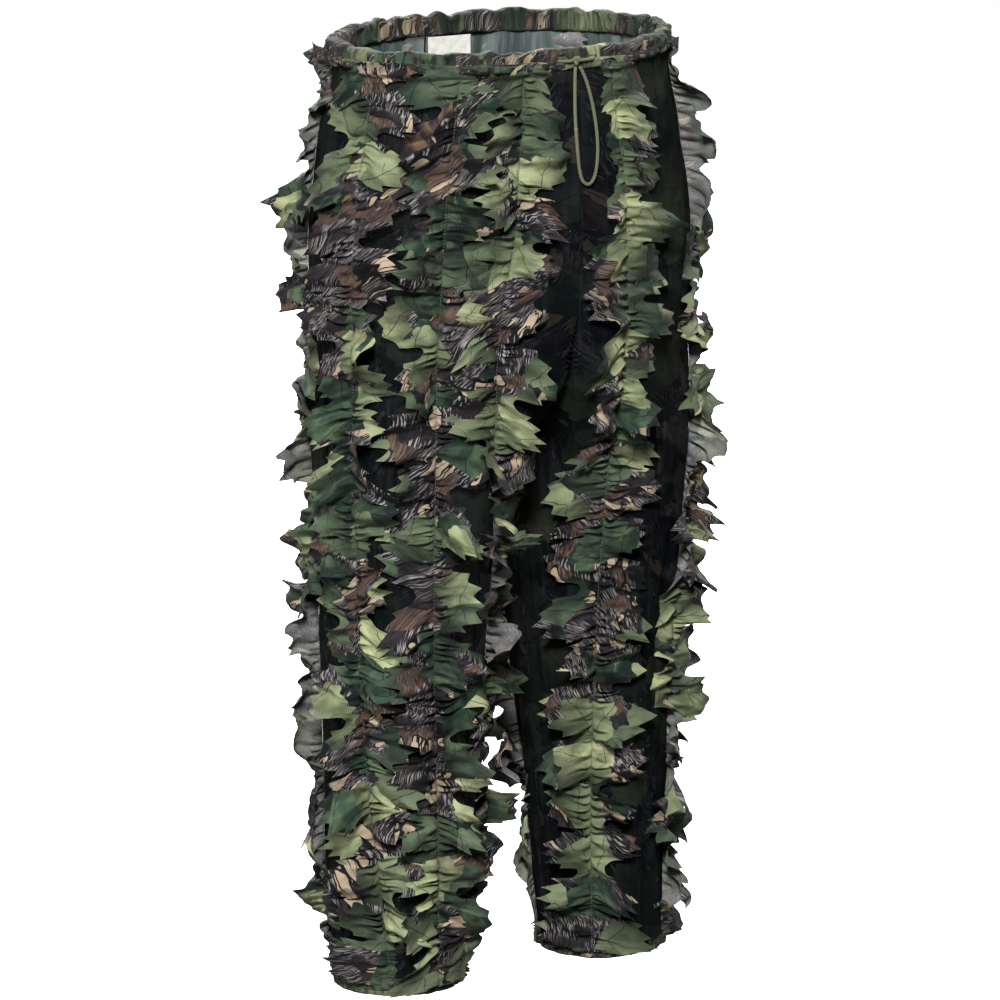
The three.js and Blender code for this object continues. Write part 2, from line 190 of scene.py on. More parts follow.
def softened(values: Array, reach: float) -> Array:
    """Blurs a row of values with a bell of that reach, in samples."""
    half = int(math.ceil(BELL_REACHES * reach))
    bell = np.exp(-0.5 * (np.arange(-half, half + 1) / reach) ** 2)
    padded = np.pad(values, half, mode="edge")
    return np.convolve(padded, bell / bell.sum(), mode="valid")


# ---- Meshes ----


def grid_faces(rows: int, columns: int, closed: bool = False) -> Array:
    """Lists the quads of a grid of points.

    Args:
        rows: how many rows of points.
        columns: how many points in a row.
        closed: joins each row's last point to its first.

    Returns:
        An array of quads, four indices each.
    """
    j, i = np.meshgrid(np.arange(rows - 1), np.arange(columns - (0 if closed else 1)), indexing="ij")
    after = (i + 1) % columns
    quads = [j * columns + i, j * columns + after, (j + 1) * columns + after, (j + 1) * columns + i]
    return np.stack(quads, -1).reshape(-1, 4)


def ring_faces(rows: int, columns: int) -> Array:
    """Lists the quads of a grid that is closed both ways, facing the other way round.

    Args:
        rows: how many rows of points.
        columns: how many points in a row.

    Returns:
        An array of quads, four indices each.
    """
    last, i = (rows - 1) * columns, np.arange(columns)
    after = (i + 1) % columns
    closing = np.stack([last + i, last + after, after, i], -1)
    return np.concatenate([grid_faces(rows, columns, closed=True), closing])[:, ::-1]


def rounded_box(count: int, power: float) -> tuple[Array, Array, Array]:
    """Walks round a superellipse.

    Args:
        count: how many points.
        power: 1 for a circle, less for a squarer outline.

    Returns:
        The turn, the place outwards and the place upwards of each point, from -1 to 1.
    """
    turn = np.arange(count) / count * FULL_TURN
    out = np.sign(np.cos(turn)) * np.abs(np.cos(turn)) ** power
    up = np.sign(np.sin(turn)) * np.abs(np.sin(turn)) ** power
    return turn, out, up


def make_mesh(
    name: str,
    points: Array,
    faces: Array,
    material: bpy.types.Material,
    flat: Array | None = None,
) -> Piece:
    """Makes a smooth-shaded object.

    Args:
        name: the piece's name.
        points: its vertices, in the row frame.
        faces: its quads or triangles.
        material: its finish.
        flat: each vertex's place on the cloth before it was sewn, in metres.

    Returns:
        The object, linked into the scene.
    """
    mesh = bpy.data.meshes.new(name)
    points = np.asarray(points, np.float32).reshape(-1, 3)
    faces = np.asarray(faces, np.int32)
    sides = faces.shape[1]
    mesh.vertices.add(len(points))
    mesh.vertices.foreach_set("co", points.ravel())
    mesh.loops.add(faces.size)
    mesh.loops.foreach_set("vertex_index", faces.ravel())
    mesh.polygons.add(len(faces))
    mesh.polygons.foreach_set("loop_start", np.arange(0, faces.size, sides, dtype=np.int32))
    mesh.update(calc_edges=True)
    mesh.validate()
    mesh.polygons.foreach_set("use_smooth", np.ones(len(mesh.polygons), bool))
    if flat is not None:
        layer = mesh.uv_layers.new(name=FLAT_MAP, do_init=False)
        corners = np.empty(len(mesh.loops), np.int32)
        mesh.loops.foreach_get("vertex_index", corners)
        layer.uv.foreach_set("vector", np.asarray(flat, np.float32).reshape(-1, 2)[corners].ravel())
    mesh.materials.append(material)
    piece = bpy.data.objects.new(name, mesh)
    bpy.context.collection.objects.link(piece)
    return piece


def settle(piece: Piece, body: str, node: str = "") -> Piece:
    """Gives a piece its body and the node that it stands for.

    Args:
        piece: the object.
        body: the body it rides on.
        node: the frame's node that it replaces, if there is one.

    Returns:
        The piece.
    """
    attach(piece, body)
    if node:
        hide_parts(node)
    return piece


def frames_along(path: Array) -> tuple[Array, Array, Array]:
    """Finds steady directions across a path.

    Args:
        path: points along a line.

    Returns:
        The tangents and two directions across, one row for each point.
    """
    tangents = np.gradient(path, axis=0)
    tangents /= np.linalg.norm(tangents, axis=1, keepdims=True)
    first = np.cross(tangents[0], STEADY)
    across = np.empty_like(path)
    across[0] = first / np.linalg.norm(first)
    for k in range(1, len(path)):
        moved = across[k - 1] - tangents[k] * (across[k - 1] @ tangents[k])
        across[k] = moved / np.linalg.norm(moved)
    return tangents, across, np.cross(tangents, across)


def tube(
    path: Array,
    radius: float,
    sides: int,
    plait: float = 0.0,
) -> tuple[Array, Array, Array]:
    """Sweeps a round cord along a path, with rounded ends.

    Args:
        path: the points it follows.
        radius: its radius.
        sides: the points around it.
        plait: how far its strands stand proud.

    Returns:
        Its points, its quads and its flat coordinates.
    """
    _, across, upward = frames_along(path)
    steps = np.linalg.norm(np.diff(path, axis=0), axis=1)
    along = np.concatenate([[0], np.cumsum(steps)])
    turn = np.arange(sides) / sides * 2 * math.pi
    strands = STRANDS * turn[None, :]
    lay = along[:, None] / (radius * STRAND_LAY) * 2 * math.pi
    relief = plait * np.maximum(np.sin(strands / 2 + lay), np.sin(strands / 2 - lay))
    size = radius + relief - plait / 2
    closing = np.clip(np.minimum(along, along[-1] - along) / radius, 0, 1)
    size = size * np.sqrt(closing * (2 - closing) + END_FLOOR)[:, None]
    ring = across[:, None] * np.cos(turn)[None, :, None] + upward[:, None] * np.sin(turn)[None, :, None]
    points = path[:, None] + ring * size[..., None]
    flat = np.stack(np.broadcast_arrays(turn[None, :] * radius, along[:, None]), -1)
    faces = grid_faces(len(path), sides, closed=True)
    return points.reshape(-1, 3), faces, flat.reshape(-1, 2)


def smooth_path(points: Array, step: float) -> Array:
    """Draws a smooth line through points, with a point every step."""
    points = np.asarray(points, float)
    lengths = np.linalg.norm(np.diff(points, axis=0), axis=1)
    places = np.concatenate([[0], np.cumsum(lengths)])
    count = max(int(places[-1] / step), LEAST_POINTS)
    fine = np.linspace(0, places[-1], FINER * count)
    line = np.stack([hermite(places, points[:, k], fine) for k in range(3)], 1)
    run = np.concatenate([[0], np.cumsum(np.linalg.norm(np.diff(line, axis=0), axis=1))])
    even = np.linspace(0, run[-1], count)
    return np.stack([np.interp(even, run, line[:, k]) for k in range(3)], 1)


# ---- Shader nodes ----


class Wiring:
    """Adds and links nodes in one node tree."""

    def __init__(self, tree: bpy.types.NodeTree) -> None:
        """Keeps the tree."""
        self.tree = tree

    def add(self, kind: str, **settings: object) -> bpy.types.Node:
        """Adds a node and sets its properties."""
        node = self.tree.nodes.new(kind)
        for key, value in settings.items():
            setattr(node, key, value)
        return node

    def feed(self, socket: Socket, value: object) -> None:
        """Links a socket to another, or sets its value."""
        if isinstance(value, Socket):
            self.tree.links.new(value, socket)
        else:
            socket.default_value = value

    def math(self, operation: str, *values: object, clamp: bool = False) -> Socket:
        """Adds a Math node and gives its result."""
        node = self.add("ShaderNodeMath", operation=operation, use_clamp=clamp)
        for socket, value in zip(node.inputs, values):
            self.feed(socket, value)
        return node.outputs[0]

    def vector(self, operation: str, *values: object) -> Socket:
        """Adds a Vector Math node and gives its vector."""
        node = self.add("ShaderNodeVectorMath", operation=operation)
        for socket, value in zip(node.inputs, values):
            self.feed(socket, value)
        return node.outputs["Value" if operation in ("LENGTH", "DISTANCE") else "Vector"]

    def scale(self, vector: object, factor: float) -> Socket:
        """Multiplies a vector by a number."""
        node = self.add("ShaderNodeVectorMath", operation="SCALE")
        self.feed(node.inputs[0], vector)
        self.feed(node.inputs["Scale"], factor)
        return node.outputs["Vector"]

    def step(self, value: object, low: float, high: float) -> Socket:
        """Rises smoothly from 0 at low to 1 at high, or falls where low is above high."""
        node = self.add("ShaderNodeMapRange", interpolation_type="SMOOTHSTEP")
        self.feed(node.inputs["Value"], value)
        self.feed(node.inputs["From Min"], min(low, high))
        self.feed(node.inputs["From Max"], max(low, high))
        self.feed(node.inputs["To Min"], 0.0 if low < high else 1.0)
        self.feed(node.inputs["To Max"], 1.0 if low < high else 0.0)
        return node.outputs["Result"]

    def noise(
        self,
        vector: object,
        scale: float,
        detail: float = 2.0,
        rough: float = 0.5,
    ) -> Socket:
        """Adds a noise texture and gives its value."""
        node = self.add("ShaderNodeTexNoise")
        self.feed(node.inputs["Vector"], vector)
        self.feed(node.inputs["Scale"], scale)
        self.feed(node.inputs["Detail"], detail)
        self.feed(node.inputs["Roughness"], rough)
        return node.outputs["Fac"]

    def stretched(self, x: object, y: object, wide: float, tall: float) -> Socket:
        """Gives the place at which a noise has its own scale each way."""
        return self.join(self.math("MULTIPLY", x, wide), self.math("MULTIPLY", y, tall), 0.0)

    def length(self, x: object, y: object) -> Socket:
        """Gives the distance of a place from the origin."""
        squares = (self.math("MULTIPLY", x, x), self.math("MULTIPLY", y, y))
        return self.math("SQRT", self.math("ADD", *squares))

    def mix(self, factor: object, first: object, second: object, blend: str = "MIX") -> Socket:
        """Mixes two colours."""
        node = self.add("ShaderNodeMix", data_type="RGBA", blend_type=blend)
        self.feed(node.inputs["Factor"], factor)
        self.feed(node.inputs[6], first)
        self.feed(node.inputs[7], second)
        return node.outputs[2]

    def split(self, vector: object) -> tuple[Socket, ...]:
        """Gives a vector's three parts."""
        node = self.add("ShaderNodeSeparateXYZ")
        self.feed(node.inputs[0], vector)
        return node.outputs[0], node.outputs[1], node.outputs[2]

    def join(self, x: object, y: object, z: object) -> Socket:
        """Makes a vector of three numbers."""
        node = self.add("ShaderNodeCombineXYZ")
        for socket, value in zip(node.inputs, (x, y, z)):
            self.feed(socket, value)
        return node.outputs[0]

    def group(self, tree: bpy.types.NodeTree, **values: object) -> bpy.types.Node:
        """Adds a node group with its inputs."""
        node = self.add("ShaderNodeGroup", node_tree=tree)
        for key, value in values.items():
            self.feed(node.inputs[key.replace("_", " ")], value)
        return node


def rgb(red: float, green: float, blue: float) -> tuple[float, float, float, float]:
    """Turns a display colour from 0 to 255 into a linear one."""
    parts = [c / 255 for c in (red, green, blue)]
    return tuple(c / 12.92 if c <= 0.04045 else ((c + 0.055) / 1.055) ** 2.4 for c in parts) + (1.0,)


def new_group(
    name: str,
    numbers: tuple[str, ...],
    results: tuple[str, ...],
) -> tuple[bpy.types.NodeTree, Wiring, bpy.types.Node, bpy.types.Node]:
    """Starts a shader node group that works at a place on the cloth.

    Args:
        name: the group's name.
        numbers: the names of its inputs after Place.
        results: the names of its outputs; Color is a colour and the others are numbers.

    Returns:
        The tree, its wiring and its input and output nodes.
    """
    tree = bpy.data.node_groups.new(name, "ShaderNodeTree")
    tree.interface.new_socket("Place", in_out="INPUT", socket_type="NodeSocketVector")
    for key in numbers:
        tree.interface.new_socket(key, in_out="INPUT", socket_type="NodeSocketFloat")
    for key in results:
        kind = "NodeSocketColor" if key == "Color" else "NodeSocketFloat"
        tree.interface.new_socket(key, in_out="OUTPUT", socket_type=kind)
    wire = Wiring(tree)
    return tree, wire, wire.add("NodeGroupInput"), wire.add("NodeGroupOutput")


@dataclass(frozen=True)
class PrintColours:
    """The dyes of the camouflage print."""

    sunlit: tuple = rgb(178, 183, 138)
    fresh: tuple = rgb(98, 114, 84)
    middle: tuple = rgb(48, 68, 56)
    deep: tuple = rgb(13, 25, 23)
    vein: tuple = rgb(8, 10, 8)
    bark: tuple = rgb(44, 38, 42)
    shadow: tuple = rgb(15, 15, 18)
    hair: tuple = rgb(142, 138, 136)
    brown: tuple = rgb(96, 76, 60)
    tan: tuple = rgb(152, 136, 116)


@dataclass(frozen=True)
class PrintedLeaf:
    """One scatter of leaves in the print, in metres."""

    spacing: float
    reach: float
    missing: float
    shift: float
    dark: tuple
    light: tuple


@dataclass(frozen=True)
class LeafDrawing:
    """How one printed leaf is drawn. Widths are in metres, shares are of its reach."""

    randomness: float = 0.8
    lobe_turns: float = 2.5
    lobe_share: float = 0.34
    tooth_turns: float = 9.0
    tooth_share: float = 0.08
    body_share: float = 0.62
    edge: Pair = (-0.0002, 0.0006)
    stalk_share: float = 0.55
    wander_scale: float = 45.0
    wander: float = 0.012
    vein_turns: float = 3.4
    vein_width: Pair = (0.00055, 0.00025)
    branch_slant: float = 1.6
    branches_per_metre: float = 48.0
    branch_width: Pair = (0.022, 0.010)
    branch_ends: Pair = (0.66, 0.6)
    forward: Pair = (0.0, 0.002)
    stipple_scale: float = 1300.0
    stipple: float = 1.1
    shade_span: Pair = (-0.35, 1.05)


@dataclass(frozen=True)
class GroundDrawing:
    """How the print's ground of bark, brown and tan patches and its leaves' tones are drawn."""

    ripple_scale: float = 60.0
    ripple: float = 0.006
    ripple_shift: tuple = (3.1, 1.7, 0.0)
    cloud_scale: float = 28.0
    cloud: Pair = (0.35, 0.65)
    sway_scale: float = 6.0
    sway: float = 0.16
    sway_shift: tuple = (5.0, 9.0, 0.0)
    slant: float = 0.6
    grain: Pair = (900.0, 70.0)
    tuft_scale: float = 30.0
    tufts: Pair = (0.40, 0.50)
    hair: Pair = (0.54, 0.60)
    hair_share: float = 0.85
    dark_lines: Pair = (0.45, 0.38)
    line_share: float = 0.7
    brown_scale: float = 20.0
    brown_detail: float = 1.5
    brown_shift: tuple = (7.3, 2.9, 0.0)
    brown: Pair = (0.57, 0.59)
    brown_strands: Pair = (0.35, 0.6)
    patch: Pair = (46.0, 19.0)
    tan: Pair = (0.615, 0.62)
    tan_rim: Pair = (0.59, 0.595)
    scribble: Pair = (110.0, 30.0)
    strokes: Pair = (0.03, 0.014)
    tone_power: float = 1.6
    mottle_scale: float = 42.0
    mottle: Pair = (0.42, 0.62)
    shade_mix: Pair = (0.75, 0.1)
    vein_share: float = 0.9


class CamouflagePrint:
    """The printed pattern of leaves, bark and twigs, as shader node groups."""

    def __init__(self, colours: PrintColours) -> None:
        """Builds both groups."""
        self.colours = colours
        self.drawn = LeafDrawing()
        self.ground = GroundDrawing()
        self.leaf = self.build_leaf()
        self.whole = self.build_whole()

    def build_leaf(self) -> bpy.types.NodeTree:
        """Scatters printed leaves, each turned its own way, with veins and a shaded side."""
        drawn = self.drawn
        results = ("Mask", "Vein", "Shade", "Pick")
        tree, wire, given, out = new_group("printed_leaves", ("Spacing", "Reach", "Missing"), results)
        place, reach = given.outputs["Place"], given.outputs["Reach"]
        cells = wire.add("ShaderNodeTexVoronoi", feature="F1", voronoi_dimensions="2D")
        wire.feed(cells.inputs["Vector"], place)
        wire.feed(cells.inputs["Scale"], wire.math("DIVIDE", 1.0, given.outputs["Spacing"]))
        wire.feed(cells.inputs["Randomness"], drawn.randomness)
        chance = wire.add("ShaderNodeSeparateColor")
        wire.feed(chance.inputs[0], cells.outputs["Color"])
        turned = wire.add("ShaderNodeVectorRotate", rotation_type="Z_AXIS")
        wire.feed(turned.inputs["Vector"], wire.vector("SUBTRACT", place, cells.outputs["Position"]))
        wire.feed(turned.inputs["Angle"], wire.math("MULTIPLY", chance.outputs[0], FULL_TURN))
        x, y, _ = wire.split(turned.outputs[0])
        chosen = wire.math("GREATER_THAN", chance.outputs[1], given.outputs["Missing"])
        wire.feed(out.inputs["Mask"], wire.math("MULTIPLY", self.outline(wire, x, y, reach), chosen))
        base_x = wire.math("ADD", x, wire.math("MULTIPLY", reach, drawn.stalk_share))
        wander = wire.noise(place, drawn.wander_scale, 1.0)
        bent = wire.math("MULTIPLY", wire.math("SUBTRACT", wander, 0.5), drawn.wander)
        wire.feed(out.inputs["Vein"], self.veins(wire, base_x, wire.math("ADD", y, bent)))
        stipple = wire.math("MULTIPLY", wire.noise(place, drawn.stipple_scale, 1.0), drawn.stipple)
        lit = wire.math("ADD", wire.math("DIVIDE", y, reach), stipple)
        wire.feed(out.inputs["Shade"], wire.step(lit, *drawn.shade_span))
        wire.feed(out.inputs["Pick"], chance.outputs[2])
        return tree

    def outline(self, wire: Wiring, x: object, y: object, reach: object) -> Socket:
        """Masks a leaf with pointed lobes and small teeth.

        Args:
            wire: the tree's wiring.
            x: the place along the leaf.
            y: the place across it.
            reach: how far its lobes reach.

        Returns:
            1 inside the leaf and 0 outside.
        """
        drawn = self.drawn
        angle = wire.math("ARCTAN2", y, x)
        lobes = wire.math("ABSOLUTE", wire.math("COSINE", wire.math("MULTIPLY", angle, drawn.lobe_turns)))
        teeth = wire.math("ABSOLUTE", wire.math("SINE", wire.math("MULTIPLY", angle, drawn.tooth_turns)))
        edge = wire.math("MULTIPLY", lobes, drawn.lobe_share)
        edge = wire.math("ADD", edge, wire.math("MULTIPLY", teeth, drawn.tooth_share))
        edge = wire.math("MULTIPLY", wire.math("ADD", edge, drawn.body_share), reach)
        return wire.step(wire.math("SUBTRACT", edge, wire.length(x, y)), *drawn.edge)

    def veins(self, wire: Wiring, x: object, y: object) -> Socket:
        """Draws veins that fan out from the stalk, with side veins between them.

        Args:
            wire: the tree's wiring.
            x: the distance along the leaf from its stalk.
            y: the place across it.

        Returns:
            1 on a vein and 0 elsewhere.
        """
        drawn = self.drawn
        fan = wire.math("MULTIPLY", wire.math("ARCTAN2", y, x), drawn.vein_turns)
        rays = wire.math("ABSOLUTE", wire.math("SINE", fan))
        from_stalk = wire.length(x, y)
        gap = wire.math("MULTIPLY", wire.math("DIVIDE", rays, drawn.vein_turns), from_stalk)
        slanted = wire.math("SUBTRACT", from_stalk, wire.math("MULTIPLY", gap, drawn.branch_slant))
        place = wire.math("FRACT", wire.math("MULTIPLY", slanted, drawn.branches_per_metre))
        off_branch = wire.math("ABSOLUTE", wire.math("SUBTRACT", place, 0.5))
        branch = wire.step(off_branch, *drawn.branch_width)
        branch = wire.math("MULTIPLY", branch, wire.step(rays, *drawn.branch_ends))
        both = wire.math("MAXIMUM", wire.step(gap, *drawn.vein_width), branch)
        return wire.math("MULTIPLY", both, wire.step(x, *drawn.forward))

    def build_whole(self) -> bpy.types.NodeTree:
        """Lays two scatters of leaves over the ground."""
        dye, drawn = self.colours, self.ground
        tree, wire, given, out = new_group("camouflage_print", (), ("Color",))
        place = given.outputs["Place"]
        shifted = wire.vector("ADD", place, drawn.ripple_shift)
        scale = drawn.ripple_scale
        ripple = wire.join(wire.noise(place, scale), wire.noise(shifted, scale), 0.0)
        place = wire.vector("ADD", place, wire.scale(ripple, drawn.ripple))
        colour = self.lay_ground(wire, place)
        under = PrintedLeaf(0.047, reach=0.028, missing=0.64, shift=0.37, dark=dye.deep, light=dye.middle)
        over = PrintedLeaf(0.068, reach=0.045, missing=0.44, shift=0.0, dark=dye.middle, light=dye.sunlit)
        for scatter in (under, over):
            colour = self.lay_leaves(wire, place, colour, scatter)
        wire.feed(out.inputs["Color"], colour)
        return tree

    def lay_ground(self, wire: Wiring, place: Socket) -> Socket:
        """Draws hairy bark with brown patches and outlined tan patches.

        Args:
            wire: the tree's wiring.
            place: the flat coordinates.

        Returns:
            The ground's colour.
        """
        dye, drawn = self.colours, self.ground
        cloud = wire.noise(place, drawn.cloud_scale)
        dark = wire.mix(wire.step(cloud, *drawn.cloud), dye.bark, dye.shadow)
        shifted = wire.vector("ADD", place, drawn.sway_shift)
        slow = {"scale": drawn.sway_scale, "detail": 0.0}
        sway = wire.join(wire.noise(place, **slow), wire.noise(shifted, **slow), 0.0)
        grain_turn = wire.add("ShaderNodeVectorRotate", rotation_type="Z_AXIS")
        wire.feed(grain_turn.inputs["Vector"], wire.vector("ADD", place, wire.scale(sway, drawn.sway)))
        wire.feed(grain_turn.inputs["Angle"], drawn.slant)
        x, y, _ = wire.split(grain_turn.outputs[0])
        strands = wire.noise(wire.stretched(x, y, *drawn.grain), 1.0, detail=1.0)
        tufts = wire.step(wire.noise(place, drawn.tuft_scale, detail=1.0), *drawn.tufts)
        hair = wire.math("MULTIPLY", wire.step(strands, *drawn.hair), tufts)
        lines = wire.step(strands, *drawn.dark_lines)
        bark = wire.mix(wire.math("MULTIPLY", lines, drawn.line_share), dark, dye.vein)
        bark = wire.mix(wire.math("MULTIPLY", hair, drawn.hair_share), bark, dye.hair)
        moved = wire.vector("ADD", place, drawn.brown_shift)
        brown = wire.step(wire.noise(moved, drawn.brown_scale, drawn.brown_detail), *drawn.brown)
        brown_tone = wire.mix(wire.step(strands, *drawn.brown_strands), dye.brown, dye.bark)
        ground = wire.mix(brown, bark, brown_tone)
        patch = wire.noise(wire.stretched(x, y, *drawn.patch), 1.0, detail=1.0)
        tan = wire.step(patch, *drawn.tan)
        rim = wire.math("MULTIPLY", wire.step(patch, *drawn.tan_rim), wire.math("SUBTRACT", 1.0, tan))
        scribble = wire.noise(wire.stretched(x, y, *drawn.scribble), 1.0, detail=1.0)
        off_stroke = wire.math("ABSOLUTE", wire.math("SUBTRACT", scribble, 0.5))
        marked = wire.mix(wire.step(off_stroke, *drawn.strokes), dye.tan, dye.vein)
        return wire.mix(tan, wire.mix(rim, ground, dye.vein), marked)

    def lay_leaves(
        self,
        wire: Wiring,
        place: Socket,
        ground: Socket,
        scatter: PrintedLeaf,
    ) -> Socket:
        """Prints one scatter of leaves over a ground colour.

        Args:
            wire: the tree's wiring.
            place: the flat coordinates.
            ground: the colour beneath.
            scatter: the leaves' sizes and tones.

        Returns:
            The colour with the leaves on it.
        """
        dye, drawn = self.colours, self.ground
        moved = wire.vector("ADD", place, (scatter.shift, scatter.shift / 3, 0.0))
        leaf = wire.group(
            self.leaf, Place=moved, Spacing=scatter.spacing, Reach=scatter.reach, Missing=scatter.missing
        )
        pick = wire.math("POWER", leaf.outputs["Pick"], drawn.tone_power)
        tone = wire.mix(pick, scatter.dark, scatter.light)
        mottle = wire.step(wire.noise(place, drawn.mottle_scale), *drawn.mottle)
        tone = wire.mix(mottle, tone, wire.mix(0.5, tone, dye.fresh))
        lit = wire.math("MULTIPLY_ADD", leaf.outputs["Shade"], *drawn.shade_mix)
        shaded = wire.mix(lit, dye.deep, tone)
        veined = wire.mix(wire.math("MULTIPLY", leaf.outputs["Vein"], drawn.vein_share), shaded, dye.vein)
        return wire.mix(leaf.outputs["Mask"], ground, veined)


@dataclass(frozen=True)
class ClothEffects:
    """The weave and the puckers that several finishes share, as shader node groups."""

    thread_height: Pair = (0.25, 0.5)
    thread_shade: Pair = (0.3, 0.85)
    drift_scale: float = 24.0
    drift: float = 0.022
    pucker_light: Pair = (0.32, 0.60)

    def weave(self) -> bpy.types.NodeTree:
        """A woven or knitted surface: crossed threads at a given pitch, as a height and a shade."""
        tree, wire, given, out = new_group("weave", ("Across", "Along"), ("Height", "Shade"))
        threads = []
        for place, pitch in zip(wire.split(given.outputs["Place"]), ("Across", "Along")):
            turns = wire.math("DIVIDE", wire.math("MULTIPLY", place, FULL_TURN), given.outputs[pitch])
            threads.append(wire.math("SINE", turns))
        height = wire.math("MULTIPLY_ADD", wire.math("ADD", *threads), *self.thread_height)
        wire.feed(out.inputs["Height"], height)
        wire.feed(out.inputs["Shade"], wire.math("MULTIPLY_ADD", height, *self.thread_shade))
        return tree

    def puckers(self) -> bpy.types.NodeTree:
        """Wrinkles that run out from a gathered seam, as a height and a shade."""
        tree, wire, given, out = new_group("puckers", ("Long", "Close", "Depth"), ("Height", "Shade"))
        x, y, _ = wire.split(given.outputs["Place"])
        drift = wire.math("MULTIPLY", wire.noise(given.outputs["Place"], self.drift_scale, 1.0), self.drift)
        along = wire.math("MULTIPLY", wire.math("ADD", y, drift), given.outputs["Close"])
        height = wire.noise(wire.join(wire.math("MULTIPLY", x, given.outputs["Long"]), along, 0.0), 1.0)
        wire.feed(out.inputs["Height"], height)
        unlit = wire.math("SUBTRACT", 1.0, wire.step(height, *self.pucker_light))
        shade = wire.math("SUBTRACT", 1.0, wire.math("MULTIPLY", given.outputs["Depth"], unlit))
        wire.feed(out.inputs["Shade"], shade)
        return tree


class Finish:
    """A cloth material in the making: a Principled shader with its wiring."""

    def __init__(self, name: str, roughness: float, sheen: float = 0.0, gloss: float = 0.2) -> None:
        """Starts the material.

        Args:
            name: the material's name.
            roughness: its plain roughness.
            sheen: its plain sheen weight.
            gloss: its plain specular level.
        """
        self.material = bpy.data.materials.new(name)
        self.material.use_nodes = True
        self.wire = Wiring(self.material.node_tree)
        self.shader = self.material.node_tree.nodes["Principled BSDF"]
        self.shader.inputs["Roughness"].default_value = roughness
        self.shader.inputs["Sheen Weight"].default_value = sheen
        self.shader.inputs["Sheen Roughness"].default_value = 0.5
        self.shader.inputs["Specular IOR Level"].default_value = gloss

    @cached_property
    def place(self) -> Socket:
        """The cloth's own flat coordinates, in metres."""
        return self.wire.add("ShaderNodeUVMap", uv_map=FLAT_MAP).outputs["UV"]

    def bump(self, height: object, depth: float, strength: float = 1.0) -> None:
        """Feeds a height to the shader's normal."""
        node = self.wire.add("ShaderNodeBump")
        self.wire.feed(node.inputs["Height"], height)
        node.inputs["Distance"].default_value = depth
        node.inputs["Strength"].default_value = strength
        self.wire.feed(self.shader.inputs["Normal"], node.outputs[0])

    def colour(self, value: object) -> None:
        """Feeds the base colour."""
        self.wire.feed(self.shader.inputs["Base Color"], value)


@dataclass(frozen=True)
class ClothColours:
    """The colours of everything that isn't printed, as dark and light ends of a range."""

    reverse: tuple = (rgb(112, 112, 112), rgb(172, 172, 170))
    mesh: tuple = (rgb(5, 6, 11), rgb(6, 12, 12))
    mesh_streak: tuple = rgb(19, 23, 26)
    mesh_inside: tuple = (rgb(56, 67, 65), rgb(98, 109, 107))
    casing_dull: tuple = rgb(60, 62, 54)
    # The cord's and the elastic's dark ends are painted shade in their plaits' grooves, the light ends their
    # crests.
    cord: tuple = (rgb(60, 62, 44), rgb(106, 108, 80))
    elastic: tuple = (rgb(180, 178, 170), rgb(222, 220, 212))
    thread: tuple = (rgb(52, 57, 46), rgb(104, 108, 90))
    satin: tuple = (rgb(206, 205, 198), rgb(182, 181, 172))
    melted: tuple = (rgb(86, 86, 64), rgb(124, 122, 98))


@dataclass(frozen=True)
class PuckeredCloth:
    """A printed cloth with puckers: its weave's pitch and its puckers' sizes."""

    pitch: float
    weave_shade: Pair
    long: float
    close: float
    depth: float
    bump: float
    weave_bump: float = 0.06
    bump_strength: float = 0.8


